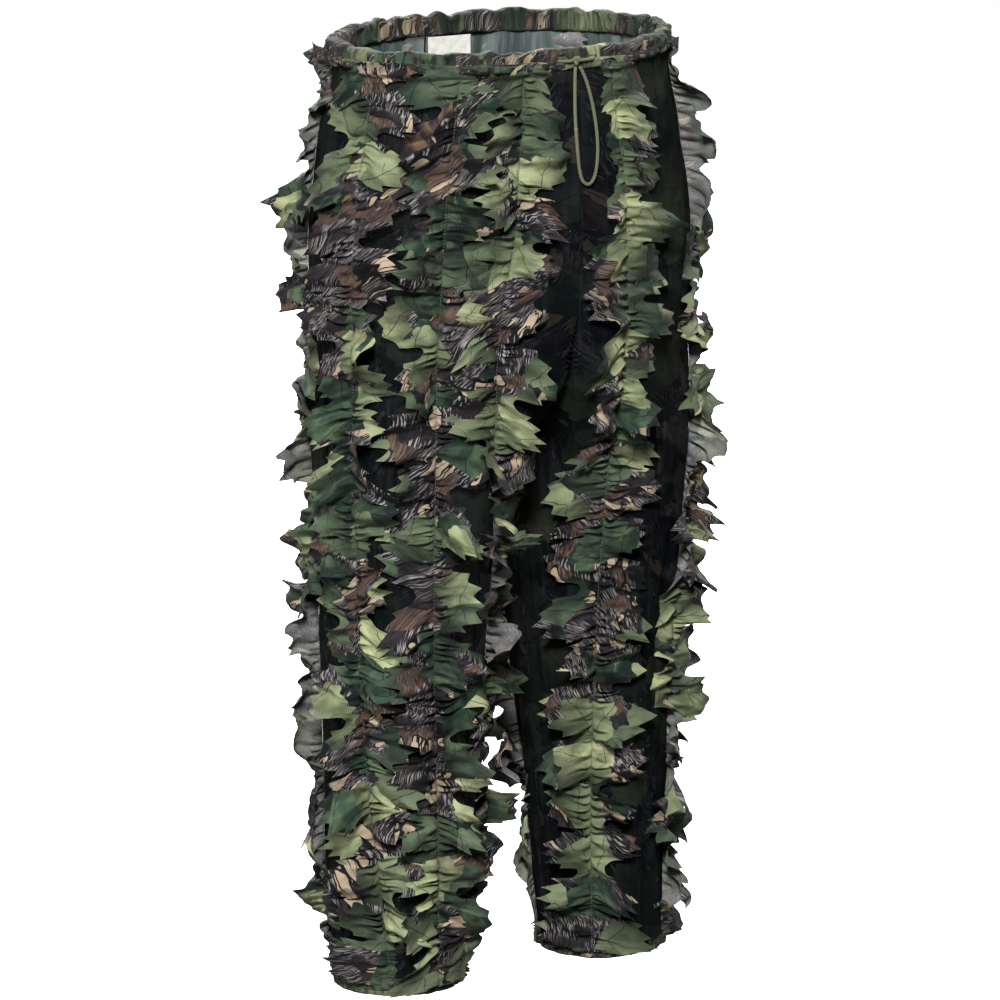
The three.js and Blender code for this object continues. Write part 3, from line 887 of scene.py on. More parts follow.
@dataclass
class Finishes:
    """Every material of the trousers."""

    colours: ClothColours = field(default_factory=ClothColours)
    leaf_puckers: PuckeredCloth = PuckeredCloth(
        pitch=0.0007, weave_shade=(0.25, 0.75), long=30.0, close=56.0, depth=0.5, bump=0.0018
    )
    casing_puckers: PuckeredCloth = PuckeredCloth(
        pitch=0.0009, weave_shade=(0.4, 0.6), long=26.0, close=120.0, depth=0.65, bump=0.0040
    )
    speckle_scale: float = 900.0
    speckle: Pair = (0.4, 0.62)
    reverse_print: float = 0.52
    mesh_rib: Pair = (0.0012, 0.0021)
    mesh_streaks: Pair = (130.0, 9.0)
    mesh_cloud_scale: float = 7.0
    mesh_print: float = 0.05
    mesh_cover: Pair = (0.02, 0.97)
    mesh_inside_cover: float = -0.06
    casing_dullness: float = 0.25
    plait_turns: float = 3400.0
    satin_rib: Pair = (0.0006, 0.0011)

    def __post_init__(self) -> None:
        """Builds them all around one print and one weave."""
        self.print = CamouflagePrint(PrintColours())
        effects = ClothEffects()
        self.weave = effects.weave()
        self.puckers = effects.puckers()
        self.leaf = self.leaf_cloth()
        self.mesh = self.mesh_cloth()
        self.woven = self.woven_cloth()
        self.cord = self.braided("olive_cord", *self.colours.cord)
        self.elastic = self.braided("white_elastic", *self.colours.elastic)
        self.thread = self.flecked("sewing_thread", 0.6, 0.1, 900.0, (0.35, 0.65), self.colours.thread)
        self.satin = self.label_satin()
        self.melted = self.flecked("melted_tip", 0.4, 0.0, 700.0, (0.4, 0.6), self.colours.melted, 0.0003)

    def woven_colour(self, made: Finish, cloth: PuckeredCloth, colour: object) -> Socket:
        """Shades a colour by the threads of the cloth's weave."""
        weave = made.wire.group(self.weave, Place=made.place, Across=cloth.pitch, Along=cloth.pitch)
        shade = made.wire.math("MULTIPLY_ADD", weave.outputs["Shade"], *cloth.weave_shade)
        return made.wire.mix(1.0, colour, shade, "MULTIPLY")

    def pucker(self, made: Finish, cloth: PuckeredCloth, colour: object) -> None:
        """Gives a finish its colour shaded by puckers, and raises its puckers and threads.

        Args:
            made: the finish.
            cloth: the weave's and the puckers' sizes.
            colour: its colour before shading.
        """
        wire = made.wire
        sizes = {"Long": cloth.long, "Close": cloth.close, "Depth": cloth.depth}
        pucker = wire.group(self.puckers, Place=made.place, **sizes)
        weave = wire.group(self.weave, Place=made.place, Across=cloth.pitch, Along=cloth.pitch)
        made.colour(wire.mix(1.0, colour, pucker.outputs["Shade"], "MULTIPLY"))
        threads, gathers = weave.outputs["Height"], pucker.outputs["Height"]
        height = wire.math("MULTIPLY_ADD", threads, cloth.weave_bump, gathers)
        made.bump(height, cloth.bump, cloth.bump_strength)

    def leaf_cloth(self) -> bpy.types.Material:
        """Thin printed polyester with a paler, speckled reverse."""
        made = Finish("leaf_cloth", roughness=0.6, sheen=0.03, gloss=0.10)
        wire = made.wire
        printed = wire.group(self.print.whole, Place=made.place).outputs["Color"]
        front = self.woven_colour(made, self.leaf_puckers, printed)
        speckle = wire.noise(made.place, self.speckle_scale, detail=1.0)
        bare = wire.mix(wire.step(speckle, *self.speckle), *self.colours.reverse)
        reverse = wire.mix(self.reverse_print, bare, printed)
        back = wire.add("ShaderNodeNewGeometry").outputs["Backfacing"]
        self.pucker(made, self.leaf_puckers, wire.mix(back, front, reverse))
        return made.material

    def mesh_cloth(self) -> bpy.types.Material:
        """Fine dark ribbed mesh that lets some light through."""
        made = Finish("mesh_cloth", roughness=0.85, sheen=0.0, gloss=0.04)
        wire = made.wire
        x, y, _ = wire.split(made.place)
        streak = wire.noise(wire.stretched(x, y, *self.mesh_streaks), 1.0, detail=3.0, rough=0.6)
        cloud = wire.noise(made.place, self.mesh_cloud_scale)
        tone = wire.mix(wire.step(cloud, 0.4, 0.6), *self.colours.mesh)
        tone = wire.mix(wire.step(streak, 0.5, 0.72), tone, self.colours.mesh_streak)
        printed = wire.group(self.print.whole, Place=made.place).outputs["Color"]
        tone = wire.mix(self.mesh_print, tone, printed)
        inside = wire.add("ShaderNodeNewGeometry").outputs["Backfacing"]
        # The inside face is drawn in paler greys than the outside face, and below it lets more through.
        inside_tone = wire.mix(wire.step(streak, 0.35, 0.7), *self.colours.mesh_inside)
        made.colour(wire.mix(inside, tone, inside_tone))
        across, along = self.mesh_rib
        rib = wire.group(self.weave, Place=made.place, Across=across, Along=along).outputs["Height"]
        made.bump(rib, 0.0003, 0.5)
        cover = wire.math("MULTIPLY_ADD", rib, *self.mesh_cover)
        cover = wire.math("MULTIPLY_ADD", inside, self.mesh_inside_cover, cover)
        wire.feed(made.shader.inputs["Alpha"], cover)
        return made.material

    def woven_cloth(self) -> bpy.types.Material:
        """The closer weave of the waist and hem casings, in the same print but duller."""
        made = Finish("woven_cloth", roughness=0.75, sheen=0.03, gloss=0.10)
        printed = made.wire.group(self.print.whole, Place=made.place).outputs["Color"]
        dull = made.wire.mix(self.casing_dullness, printed, self.colours.casing_dull)
        self.pucker(made, self.casing_puckers, self.woven_colour(made, self.casing_puckers, dull))
        return made.material

    def braided(self, name: str, dark: tuple, light: tuple) -> bpy.types.Material:
        """A plaited surface with the plait drawn along the piece, its colour painted darker in the grooves
        between strands and lighter on their crests.
        """
        made = Finish(name, roughness=0.7, sheen=0.2)
        wire = made.wire
        x, y, _ = wire.split(made.place)
        strands = []
        for way in ("ADD", "SUBTRACT"):
            slanted = wire.math("MULTIPLY", wire.math(way, x, y), self.plait_turns)
            strands.append(wire.math("SINE", slanted))
        plait = wire.math("MAXIMUM", *strands)
        # Painted shade: the colour follows the plait's height, darker in the grooves and lighter on the
        # crests.
        made.colour(wire.mix(wire.step(plait, -0.2, 0.9), dark, light))
        made.bump(plait, 0.0002, 0.6)
        return made.material

    def flecked(
        self,
        name: str,
        roughness: float,
        sheen: float,
        scale: float,
        span: Pair,
        ends: tuple,
        bump: float = 0.0,
    ) -> bpy.types.Material:
        """A small hard surface with flecks.

        Args:
            name: the material's name.
            roughness: its plain roughness.
            sheen: its plain sheen weight.
            scale: the flecks' scale.
            span: where a fleck begins and ends in the noise.
            ends: its dark and light colours.
            bump: how deep the flecks are.

        Returns:
            The material.
        """
        made = Finish(name, roughness, sheen)
        wire = made.wire
        coords = wire.add("ShaderNodeTexCoord").outputs["Object"]
        fleck = wire.noise(coords, scale, detail=2.0 if bump else 1.0)
        made.colour(wire.mix(wire.step(fleck, *span), *ends))
        if bump:
            made.bump(fleck, bump, 0.5)
        return made.material

    def label_satin(self) -> bpy.types.Material:
        """Woven satin ribbon with faint cross ribs."""
        made = Finish("label_satin", roughness=0.42, sheen=0.1)
        wire = made.wire
        across, along = self.satin_rib
        weave = wire.group(self.weave, Place=made.place, Across=across, Along=along)
        grime = wire.noise(made.place, 120.0)
        made.colour(wire.mix(wire.step(grime, 0.3, 0.8), *self.colours.satin))
        made.bump(weave.outputs["Height"], 0.00008, 0.5)
        return made.material


# ---- The trousers' form ----


@dataclass
class Form:
    """The outer face of the cloth, as sizes at drops below the rim, in metres."""

    casing_height: float = 0.023
    casing_thickness: float = 0.0088
    hip_line: float = 0.190
    crotch_curve: float = 0.285
    crotch: float = 0.345
    thigh: float = 0.430
    leg_oval: float = 0.470
    strip_break: float = 0.520
    knee_hinge: float = 0.650
    hip_half: Pair = (0.223, 0.152)
    crotch_half: Pair = (0.224, 0.141)
    thigh_half: Pair = (0.105, 0.119)
    knee_half: Pair = (0.089, 0.092)
    knee_axis: float = 0.122
    crotch_inset: Pair = (0.002, 0.004)
    parting_start: float = 0.025
    parting_gap: float = 0.0002
    soft_edge: float = 0.016
    proud_share: float = 0.06
    proud: float = 0.007
    waist_gather: float = 0.0030
    waist_gather_reach: float = 0.055
    hem_gather: float = 0.0036
    hem_gather_reach: float = 0.045
    long_fold: float = 0.0050
    crease: float = 0.0016
    waist_calm: float = 0.7
    seam_calm: float = 12.0

    def __post_init__(self) -> None:
        """Takes the waist and hem sizes from the frame."""
        self.low, self.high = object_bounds()
        low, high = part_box("waist_casing")
        self.waist_half = ((high.x - low.x) / 2, (high.y - low.y) / 2)
        low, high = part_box("hem_casing_left")
        self.hem_half = ((high.x - low.x) / 2, (high.y - low.y) / 2)
        self.hem_axis = (high.x + low.x) / 2
        self.hem_top = -high.z
        self.outseam = -low.z
        inset = self.casing_thickness / 2
        top = (self.waist_half[0] - inset, self.waist_half[1] - inset)
        self.seat_drops = np.array([self.casing_height, self.hip_line, self.crotch])
        self.seat_halves = np.array([top, self.hip_half, self.crotch_half])
        self.leg_drops = np.array([self.crotch, self.thigh, self.knee_hinge, self.hem_top])
        (across, deep), (inset, shallower) = self.crotch_half, self.crotch_inset
        crotch_leg = (across / 2 - inset, deep - shallower)
        self.leg_halves = np.array([crotch_leg, self.thigh_half, self.knee_half, self.hem_half])
        self.axis_drops = np.array([0, self.crotch, self.knee_hinge, self.outseam])
        self.axes = np.array([self.waist_half[0] / 2, self.crotch_half[0] / 2, self.knee_axis, self.hem_axis])

    def keep_inside(self, points: Array) -> Array:
        """Bends points that stand far out gently back, so that the leaves keep to their room."""
        kept = points.copy()
        for k in range(2):
            middle, half = (self.high[k] + self.low[k]) / 2, (self.high[k] - self.low[k]) / 2
            limit = half * (1 + self.proud_share) + self.proud - self.soft_edge
            reach = kept[..., k] - middle
            over = np.maximum(np.abs(reach) - limit, 0)
            eased = np.minimum(np.abs(reach), limit) + self.soft_edge * np.tanh(over / self.soft_edge)
            kept[..., k] = middle + np.sign(reach) * eased
        return kept

    def axis(self, drop: Array) -> Array:
        """How far out the leg's axis is."""
        return hermite(self.axis_drops, self.axes, drop)

    def radius(self, angle: Array, drop: Array) -> Array:
        """Finds the cloth's distance from the leg's axis.

        Args:
            angle: degrees around the leg.
            drop: distance below the rim.

        Returns:
            The distance at each place.
        """
        angle, drop = np.broadcast_arrays(np.asarray(angle, float), np.asarray(drop, float))
        across, along = np.cos(np.radians(angle)), np.sin(np.radians(angle))
        axis = self.axis(drop)
        width = hermite(self.seat_drops, self.seat_halves[:, 0], drop)
        depth = hermite(self.seat_drops, self.seat_halves[:, 1], drop)
        a = (across / width) ** 2 + (along / depth) ** 2
        b = -axis * across / width**2
        c = (axis / width) ** 2 - 1
        seat = (-b + np.sqrt(b * b - a * c)) / a
        middle = np.where(across > TINY, (axis - self.parting_gap) / np.maximum(across, TINY), np.inf)
        leg_width = hermite(self.leg_drops, self.leg_halves[:, 0], drop)
        leg_depth = hermite(self.leg_drops, self.leg_halves[:, 1], drop)
        leg = 1 / np.hypot(across / leg_width, along / leg_depth)
        share = smoothstep(self.crotch - self.parting_start, self.leg_oval, drop)
        return np.minimum(seat, middle) * (1 - share) + leg * share

    def first_angle(self, drop: Array) -> Array:
        """The angle at which a leg's cloth begins: centre seam, crotch curve, then inseam."""
        depth = hermite(self.seat_drops, self.seat_halves[:, 1], drop)
        curve = np.clip((self.crotch - drop) / (self.crotch - self.crotch_curve), 0, 1)
        return np.degrees(np.arctan2(depth * np.sqrt(curve), self.axis(drop)))

    def folds(self, side: Side, angle: Array, drop: Array) -> Array:
        """How far the cloth's folds stand in or out of its plain form.

        Args:
            side: the leg.
            angle: degrees around it.
            drop: distance below the rim.

        Returns:
            The shift along the outward direction.
        """
        seed = 3 if side is Side.RIGHT else 8
        angle = np.asarray(angle, float)
        turn = angle / 360 * LATTICE
        gather = np.exp(-(drop - self.casing_height) / self.waist_gather_reach)
        pleats = self.waist_gather * gather * lattice_noise(turn, drop * 5, seed)
        hem_gather = np.exp(-(self.hem_top - drop) / self.hem_gather_reach)
        pleats += self.hem_gather * hem_gather * lattice_noise(turn * 0.6, drop * 8, seed + 1)
        long_folds = self.long_fold * lattice_noise(turn / 4, drop * 4.5, seed + 2)
        creases = self.crease * lattice_noise(turn / 1.6 + drop * 9, drop * 22, seed + 3)
        at_ends = 1 - self.waist_calm * gather
        # The cloth lies flat where the two legs, or a leg's two edges, are sewn together.
        from_seam = 180 - np.abs(angle - 180) - self.first_angle(drop)
        return (pleats + at_ends * (long_folds + creases)) * smoothstep(0.0, self.seam_calm, from_seam)

    def point(self, side: Side, angle: Array, drop: Array, lift: Array = 0.0) -> Array:
        """Places points beside the cloth.

        Args:
            side: the leg.
            angle: degrees around it.
            drop: distance below the rim.
            lift: how far outside the cloth.

        Returns:
            The points in the row frame.
        """
        angle, drop = np.broadcast_arrays(np.asarray(angle, float), np.asarray(drop, float))
        reach = self.radius(angle, drop) + self.folds(side, angle, drop) + lift
        inward = reach * np.cos(np.radians(angle)) - self.axis(drop)
        return np.stack([-side.value * inward, -reach * np.sin(np.radians(angle)), -drop], -1)

    def waist_point(self, angle: Array, out: Array, drop: Array) -> Array:
        """Places points by the waist casing's outer face.

        Args:
            angle: radians from the front, positive to the wearer's left.
            out: distance outside the face.
            drop: distance below the rim.

        Returns:
            The points in the row frame.
        """
        angle, out, drop = np.broadcast_arrays(angle, out, drop)
        wide, deep = self.waist_half
        point = np.stack([wide * np.sin(angle), -deep * np.cos(angle)], -1)
        outward = point / np.array([wide**2, deep**2])
        outward /= np.linalg.norm(outward, axis=-1, keepdims=True)
        return np.concatenate([point + outward * out[..., None], -drop[..., None]], -1)


# ---- Sub-assemblies ----


@dataclass(frozen=True)
class SoftLight:
    """One square soft light: its place, its side in metres and its watts."""

    name: str
    place: tuple[float, float, float]
    size: float
    power: float


@dataclass
class Studio:
    """The camera, the floor and the soft lights."""

    azimuth: float = -34.8
    distance: float = 7.868
    height: float = 1.1607
    aim_drop: float = 0.5
    focal: float = 269.3
    sensor: float = 36.0
    far: float = 100.0
    shift_up: float = -0.008
    floor_drop: float = 1.085
    floor_half: float = 40.0
    floor_lines: int = 9
    floor_tones: tuple = ((0.93, 0.93, 0.93, 1), (0.95, 0.95, 0.95, 1))
    floor_bounce: tuple = (0.12, 0.12, 0.12, 1)
    floor_glow: float = 0.85
    ambient: float = 0.025
    lit_point: tuple = (0.0, 0.0, -0.45)
    lights: tuple[SoftLight, ...] = (
        SoftLight("key", (-3.4, -4.6, 3.0), size=1.2, power=760),
        SoftLight("side", (-4.6, -0.4, 1.8), size=1.6, power=110),
        SoftLight("rim", (3.4, 0.6, 2.4), size=1.6, power=150),
        SoftLight("back", (1.6, 4.6, 2.6), size=1.8, power=420),
    )

    def hang(self, name: str, data: bpy.types.ID, place: tuple, aim: tuple) -> Piece:
        """Puts a camera or a light somewhere, turned to a point.

        Args:
            name: the object's name.
            data: its camera or light.
            place: where it goes.
            aim: the point it faces.

        Returns:
            The object, linked into the scene.
        """
        thing = bpy.data.objects.new(name, data)
        thing.location = place
        thing.rotation_euler = (Vector(aim) - thing.location).to_track_quat("-Z", "Y").to_euler()
        bpy.context.collection.objects.link(thing)
        return thing

    def place_camera(self) -> None:
        """Sets the scene's camera."""
        lens = bpy.data.cameras.new("camera")
        lens.sensor_width = self.sensor
        lens.lens = self.focal
        lens.shift_y = self.shift_up
        lens.clip_end = self.far
        turn = math.radians(self.azimuth)
        place = (math.sin(turn) * self.distance, -math.cos(turn) * self.distance, self.height)
        bpy.context.scene.camera = self.hang("camera", lens, place, (0, 0, -self.aim_drop))

    def lay_floor(self) -> None:
        """Lays a wide pale floor just below the hems."""
        made = Finish("pale_floor", roughness=0.9)
        wire = made.wire
        coords = wire.add("ShaderNodeTexCoord").outputs["Object"]
        # Only the view of the floor is lifted to white: it throws little light back up.
        seen = wire.add("ShaderNodeLightPath").outputs["Is Camera Ray"]
        pale = wire.mix(wire.noise(coords, 3.0, detail=1.0), *self.floor_tones)
        made.colour(wire.mix(seen, self.floor_bounce, pale))
        wire.feed(made.shader.inputs["Emission Color"], wire.mix(seen, (0, 0, 0, 1), (1, 1, 1, 1)))
        made.shader.inputs["Emission Strength"].default_value = self.floor_glow
        line = np.linspace(-self.floor_half, self.floor_half, self.floor_lines)
        x, y = np.meshgrid(line, line)
        points = np.stack([x, y, np.full_like(x, -self.floor_drop)], -1)
        floor = make_mesh("floor", points, grid_faces(len(line), len(line)), made.material)
        floor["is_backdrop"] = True

    def build(self) -> None:
        """Sets up everything around the trousers."""
        scene = bpy.context.scene
        scene.view_settings.view_transform = "Standard"
        world = bpy.data.worlds.new("studio")
        world.use_nodes = True
        wire = Wiring(world.node_tree)
        backdrop = world.node_tree.nodes["Background"]
        seen = wire.add("ShaderNodeLightPath").outputs["Is Camera Ray"]
        wire.feed(backdrop.inputs["Color"], wire.mix(seen, (self.ambient,) * 3 + (1.0,), (1, 1, 1, 1)))
        scene.world = world
        self.lay_floor()
        for light in self.lights:
            lamp = bpy.data.lights.new(light.name, "AREA")
            lamp.shape = "SQUARE"
            lamp.size = light.size
            lamp.energy = light.power
            self.hang(light.name, lamp, light.place, self.lit_point)


@dataclass
class Drawstring:
    """The cord in the casing, its knot, its hanging loop and its buttonholes."""

    form: Form
    finishes: Finishes
    diameter: float = 0.0033
    drop: float = 0.012
    knot_across: float = -0.008
    knot_out: float = 0.0062
    hole_across: Pair = (-0.025, 0.0176)
    hole_length: float = 0.015
    hole_height: float = 0.0046
    border_out: float = 0.001
    stitch_count: int = 64
    stitch_points: int = 1100
    stitch_sway: float = 0.0008
    stitch_lift: Pair = (0.0009, 0.00035)
    stitch_radius: float = 0.00022
    loop_step: float = 0.0006
    loop_plait: float = 0.00022
    measured_every: int = 6
    joint_drop: float = 0.084
    joint_half: int = 4
    joint_swell: float = 0.62
    into_knot: float = 0.005
    dive: tuple = ((0.0054, 0.0046), (-0.001, 0.0), (-0.0078, -0.0035), (-0.017, -0.0035))
    tunnel_points: int = 60
    knot_turn: Pair = (0.35, 0.1)
    knot_points: int = 260
    knot_size: tuple = (0.00125, 0.0012, 0.00125)
    route: tuple = (
        (-9.4, -152.0, -18.2),
        (-10.2, -152.3, -27.0),
        (-10.9, -153.0, -41.0),
        (-11.5, -154.0, -58.0),
        (-11.6, -155.0, -75.0),
        (-10.9, -156.0, -93.0),
        (-9.8, -157.0, -111.0),
        (-8.2, -157.8, -127.0),
        (-4.6, -158.2, -138.4),
        (1.8, -158.4, -143.2),
        (8.6, -158.2, -139.6),
        (13.4, -157.6, -128.0),
        (15.8, -156.8, -110.0),
        (15.4, -155.8, -91.0),
        (12.9, -154.8, -71.0),
        (8.9, -153.8, -52.0),
        (3.9, -152.8, -35.0),
        (-1.4, -152.2, -23.4),
        (-4.6, -152.0, -18.2),
    )

    def angle(self, across: float) -> float:
        """The angle around the waist at a distance across."""
        return math.asin(across / self.form.waist_half[0])

    def at(self, across: float, out: float) -> Array:
        """A point on the cord's level, by its place across and its distance outside."""
        return self.form.waist_point(self.angle(across), out, self.drop)

    def build_loop(self) -> None:
        """Hangs the free loop below the knot, with the melted joint in its left limb."""
        path = smooth_path(np.array(self.route) / 1000, self.loop_step)
        points, faces, flat = tube(path, self.diameter / 2, 18, self.loop_plait)
        loop = make_mesh("cord_loop", points, faces, self.finishes.cord, flat)
        settle(loop, "cord_loop", "drawstring_loop")
        joint = self.build_joint(path)

    def build_joint(self, path: Array) -> Piece:
        """Makes the small pale bead where the cord's two ends are melted together."""
        at = int(np.argmin(np.abs(path[: len(path) // 2, 2] + self.joint_drop)))
        short = path[at - self.joint_half : at + self.joint_half + 1]
        points, faces, flat = tube(smooth_path(short, 0.0002), self.diameter * self.joint_swell, 16)
        bead = make_mesh("cord_joint", points, faces, self.finishes.melted, flat)
        return settle(bead, "cord_loop")

    def build_tunnel_cord(self) -> None:
        """Runs the cord round inside the casing and out of both buttonholes to the knot."""
        knot = self.at(self.knot_across, self.knot_out)
        right, left = self.hole_across
        end_across, inset = self.dive[-1]
        into = np.array((self.into_knot, 0, 0))
        head = [knot + into] + [self.at(left - across, out) for across, out in self.dive[:-1]]
        start, end = self.angle(left - end_across), FULL_TURN + self.angle(right + end_across)
        around = self.form.waist_point(np.linspace(start, end, self.tunnel_points), inset, self.drop)
        tail = [self.at(right + across, out) for across, out in self.dive[-2::-1]] + [knot - into]
        path = smooth_path(np.array(head + list(around) + tail), 0.0012)
        points, faces, flat = tube(path, self.diameter / 2, 12, 0.00015)
        cord = make_mesh("drawstring_cord", points, faces, self.finishes.cord, flat)
        settle(cord, "seat", "drawstring")

    def build_knot(self) -> None:
        """Ties a pulled-tight overhand knot."""
        centre = self.at(self.knot_across, self.knot_out)
        first, over = self.knot_turn
        t = np.linspace(first, FULL_TURN + over, self.knot_points)
        shape = np.stack([np.sin(t) + 2 * np.sin(2 * t), -np.sin(3 * t), np.cos(t) - 2 * np.cos(2 * t)], 1)
        points, faces, flat = tube(centre + shape * np.array(self.knot_size), self.diameter / 2, 14, 0.0002)
        knot = make_mesh("cord_knot", points, faces, self.finishes.cord, flat)
        settle(knot, "seat", "drawstring_knot")

    def build_buttonhole(self, side: Side, across: float) -> None:
        """Sews one buttonhole's border as a ring of close zigzag stitches."""
        t = np.linspace(0, 1, self.stitch_points)
        half_length = self.hole_length / 2 + self.border_out
        half_height = self.hole_height / 2 + self.border_out
        straight = half_length - half_height
        perimeter = 4 * straight + FULL_TURN * half_height
        x, z, nx, nz = self.stadium(t * perimeter, straight, half_height)
        sway = self.stitch_sway * np.sin(FULL_TURN * self.stitch_count * t)
        rest, swing = self.stitch_lift
        lift = rest + swing * np.cos(FULL_TURN * self.stitch_count * t)
        angle = self.angle(across) + (x + nx * sway) / self.form.waist_half[0]
        place = self.form.waist_point(angle, lift, self.drop - (z + nz * sway))
        points, faces, flat = tube(place, self.stitch_radius, 5)
        border = make_mesh(f"buttonhole_{side.word}_stitches", points, faces, self.finishes.thread, flat)
        settle(border, "seat", f"buttonhole_{side.word}")

    def stadium(self, run: Array, straight: float, radius: float) -> tuple[Array, ...]:
        """Walks round an outline with two straight sides and round ends.

        Args:
            run: distances along it.
            straight: half the straight sides' length.
            radius: the round ends' radius.

        Returns:
            The place and outward direction at each distance.
        """
        arc, flat = math.pi * radius, 0 * run
        low_side, right_end, high_side = 2 * straight, 2 * straight + arc, 4 * straight + arc
        pieces = [run < low_side, run < right_end, run < high_side, run >= high_side]
        right_turn = (run - low_side) / radius - math.pi / 2
        left_turn = (run - high_side) / radius + math.pi / 2
        nx = np.select(pieces, [flat, np.cos(right_turn), flat, np.cos(left_turn)])
        nz = np.select(pieces, [flat - 1, np.sin(right_turn), flat + 1, np.sin(left_turn)])
        middles = [run - straight, flat + straight, straight - (run - right_end), flat - straight]
        x = np.select(pieces, middles) + radius * nx
        z = radius * nz
        return x, z, nx, nz

    def build(self) -> None:
        """Builds the cord and all that is on it."""
        self.build_loop()
        self.build_tunnel_cord()
        self.build_knot()
        self.build_buttonhole(Side.RIGHT, self.hole_across[0])
        self.build_buttonhole(Side.LEFT, self.hole_across[1])


@dataclass
class Waistband:
    """The gathered casing around the waist."""

    form: Form
    finishes: Finishes
    around: int = 760
    ring: int = 44
    squareness: float = 0.42
    gathers: int = 96
    gather_depth: float = 0.0040
    least_swell: float = -0.0004
    calm: float = 0.85
    calm_at: float = -0.004
    calm_reach: float = 0.030
    rim_wave: float = 0.0040
    rim_rise: float = 0.0005
    flat_width: float = 0.064
    fullness: float = 1.35

    def build(self) -> None:
        """Builds the casing as one puckered fold of cloth."""
        form = self.form
        turn = np.arange(self.around) / self.around * FULL_TURN
        ring, out, up = rounded_box(self.ring, self.squareness)
        height, thickness = form.casing_height, form.casing_thickness
        angle, out, up, ring = np.broadcast_arrays(turn[:, None], out, up, ring)
        across = np.arcsin(np.sin(angle)) * form.waist_half[0] - self.calm_at
        near_knot = np.exp(-((across / self.calm_reach) ** 4)) * (np.cos(angle) > 0)
        calm = 1 - self.calm * near_knot
        places = angle / FULL_TURN * self.gathers
        ridge = 1 - 2 * np.abs(lattice_noise(places, up * 0.8 + 3, 21))
        fine = lattice_noise(places * 2.3, up * 1.4, 22)
        swell = np.maximum(self.gather_depth * calm * (0.5 + 0.9 * ridge + 0.5 * fine), self.least_swell)
        pinch = np.clip(1 - np.abs(up) ** 6 * 0.5, 0, 1)
        depth = -thickness / 2 + out * thickness / 2 + swell * np.sign(out) * pinch
        rim = self.rim_wave * calm * lattice_noise(places * 0.9, 0.5, 23) * (up > 0)
        drop = height / 2 - up * height / 2 - rim - self.rim_rise
        points = form.waist_point(angle, depth, drop)
        girth = FULL_TURN * math.sqrt((form.waist_half[0] ** 2 + form.waist_half[1] ** 2) / 2)
        flat = np.stack([ring * self.flat_width, angle * girth * self.fullness], -1) / FULL_TURN
        faces = ring_faces(self.around, self.ring)
        casing = make_mesh("waistband", points, faces, self.finishes.woven, flat)
        settle(casing, "seat", "waist_casing")


@dataclass
class CareLabel:
    """The blank satin label inside the back of the waist."""

    form: Form
    finishes: Finishes
    width: float = 0.052
    height: float = 0.025
    corner: float = 0.0025
    columns: int = 40
    rows: int = 22
    facing: float = 172.0
    slope: Pair = (0.1052, 0.9945)
    ripple: float = 0.0006
    ripples: float = 7.0
    curl: float = 0.0009
    half_thick: float = 0.00025

    def build(self) -> None:
        """Makes a thin ribbon that follows the waist and curls a little at its free edge."""
        low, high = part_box("label")
        middle = np.array(Vector(((low.x + high.x) / 2, (low.y + high.y) / 2, high.z)))
        angle, columns, rows = math.radians(self.facing), self.columns, self.rows
        x = np.linspace(-0.5, 0.5, columns)[None, :] * self.width
        z = np.linspace(0, 1, rows)[:, None] * self.height
        x, z = np.broadcast_arrays(x, z)
        over = np.maximum(np.abs(x) - (self.width / 2 - self.corner), 0)
        into = np.maximum(z - (self.height - self.corner), 0)
        round_off = np.hypot(over, into)
        shrink = np.where(round_off > self.corner, self.corner / np.maximum(round_off, TINY), 1)
        x = np.where(over > 0, np.sign(x) * (self.width / 2 - self.corner + over * shrink), x)
        z = np.where(into > 0, self.height - self.corner + into * shrink, z)
        share = z / self.height
        curl = self.ripple * np.sin(x / self.width * self.ripples) * share - self.curl * share**2
        along = np.array([math.cos(math.atan2(*self.slope)), -self.slope[0], 0])
        outward = np.array([math.sin(angle), -math.cos(angle), 0])
        layers = []
        for lift in (self.half_thick, -self.half_thick):
            point = middle + x[..., None] * along + (curl + lift)[..., None] * outward
            point[..., 2] -= z
            layers.append(point.reshape(-1, 3))
        count = columns * rows
        top = grid_faces(rows, columns)
        grid = np.arange(count).reshape(rows, columns)
        edge = np.concatenate([grid[:, 0], grid[-1, 1:], grid[-2::-1, -1], grid[0, -2:0:-1]])
        following = np.roll(edge, -1)
        wall = np.stack([edge, following, following + count, edge + count], -1)
        faces = np.concatenate([top, top[:, ::-1] + count, wall])
        flat = np.tile(np.stack([x, z], -1).reshape(-1, 2), (2, 1))
        label = make_mesh("size_label", np.concatenate(layers), faces, self.finishes.satin, flat)
        settle(label, "label_tag", "label")


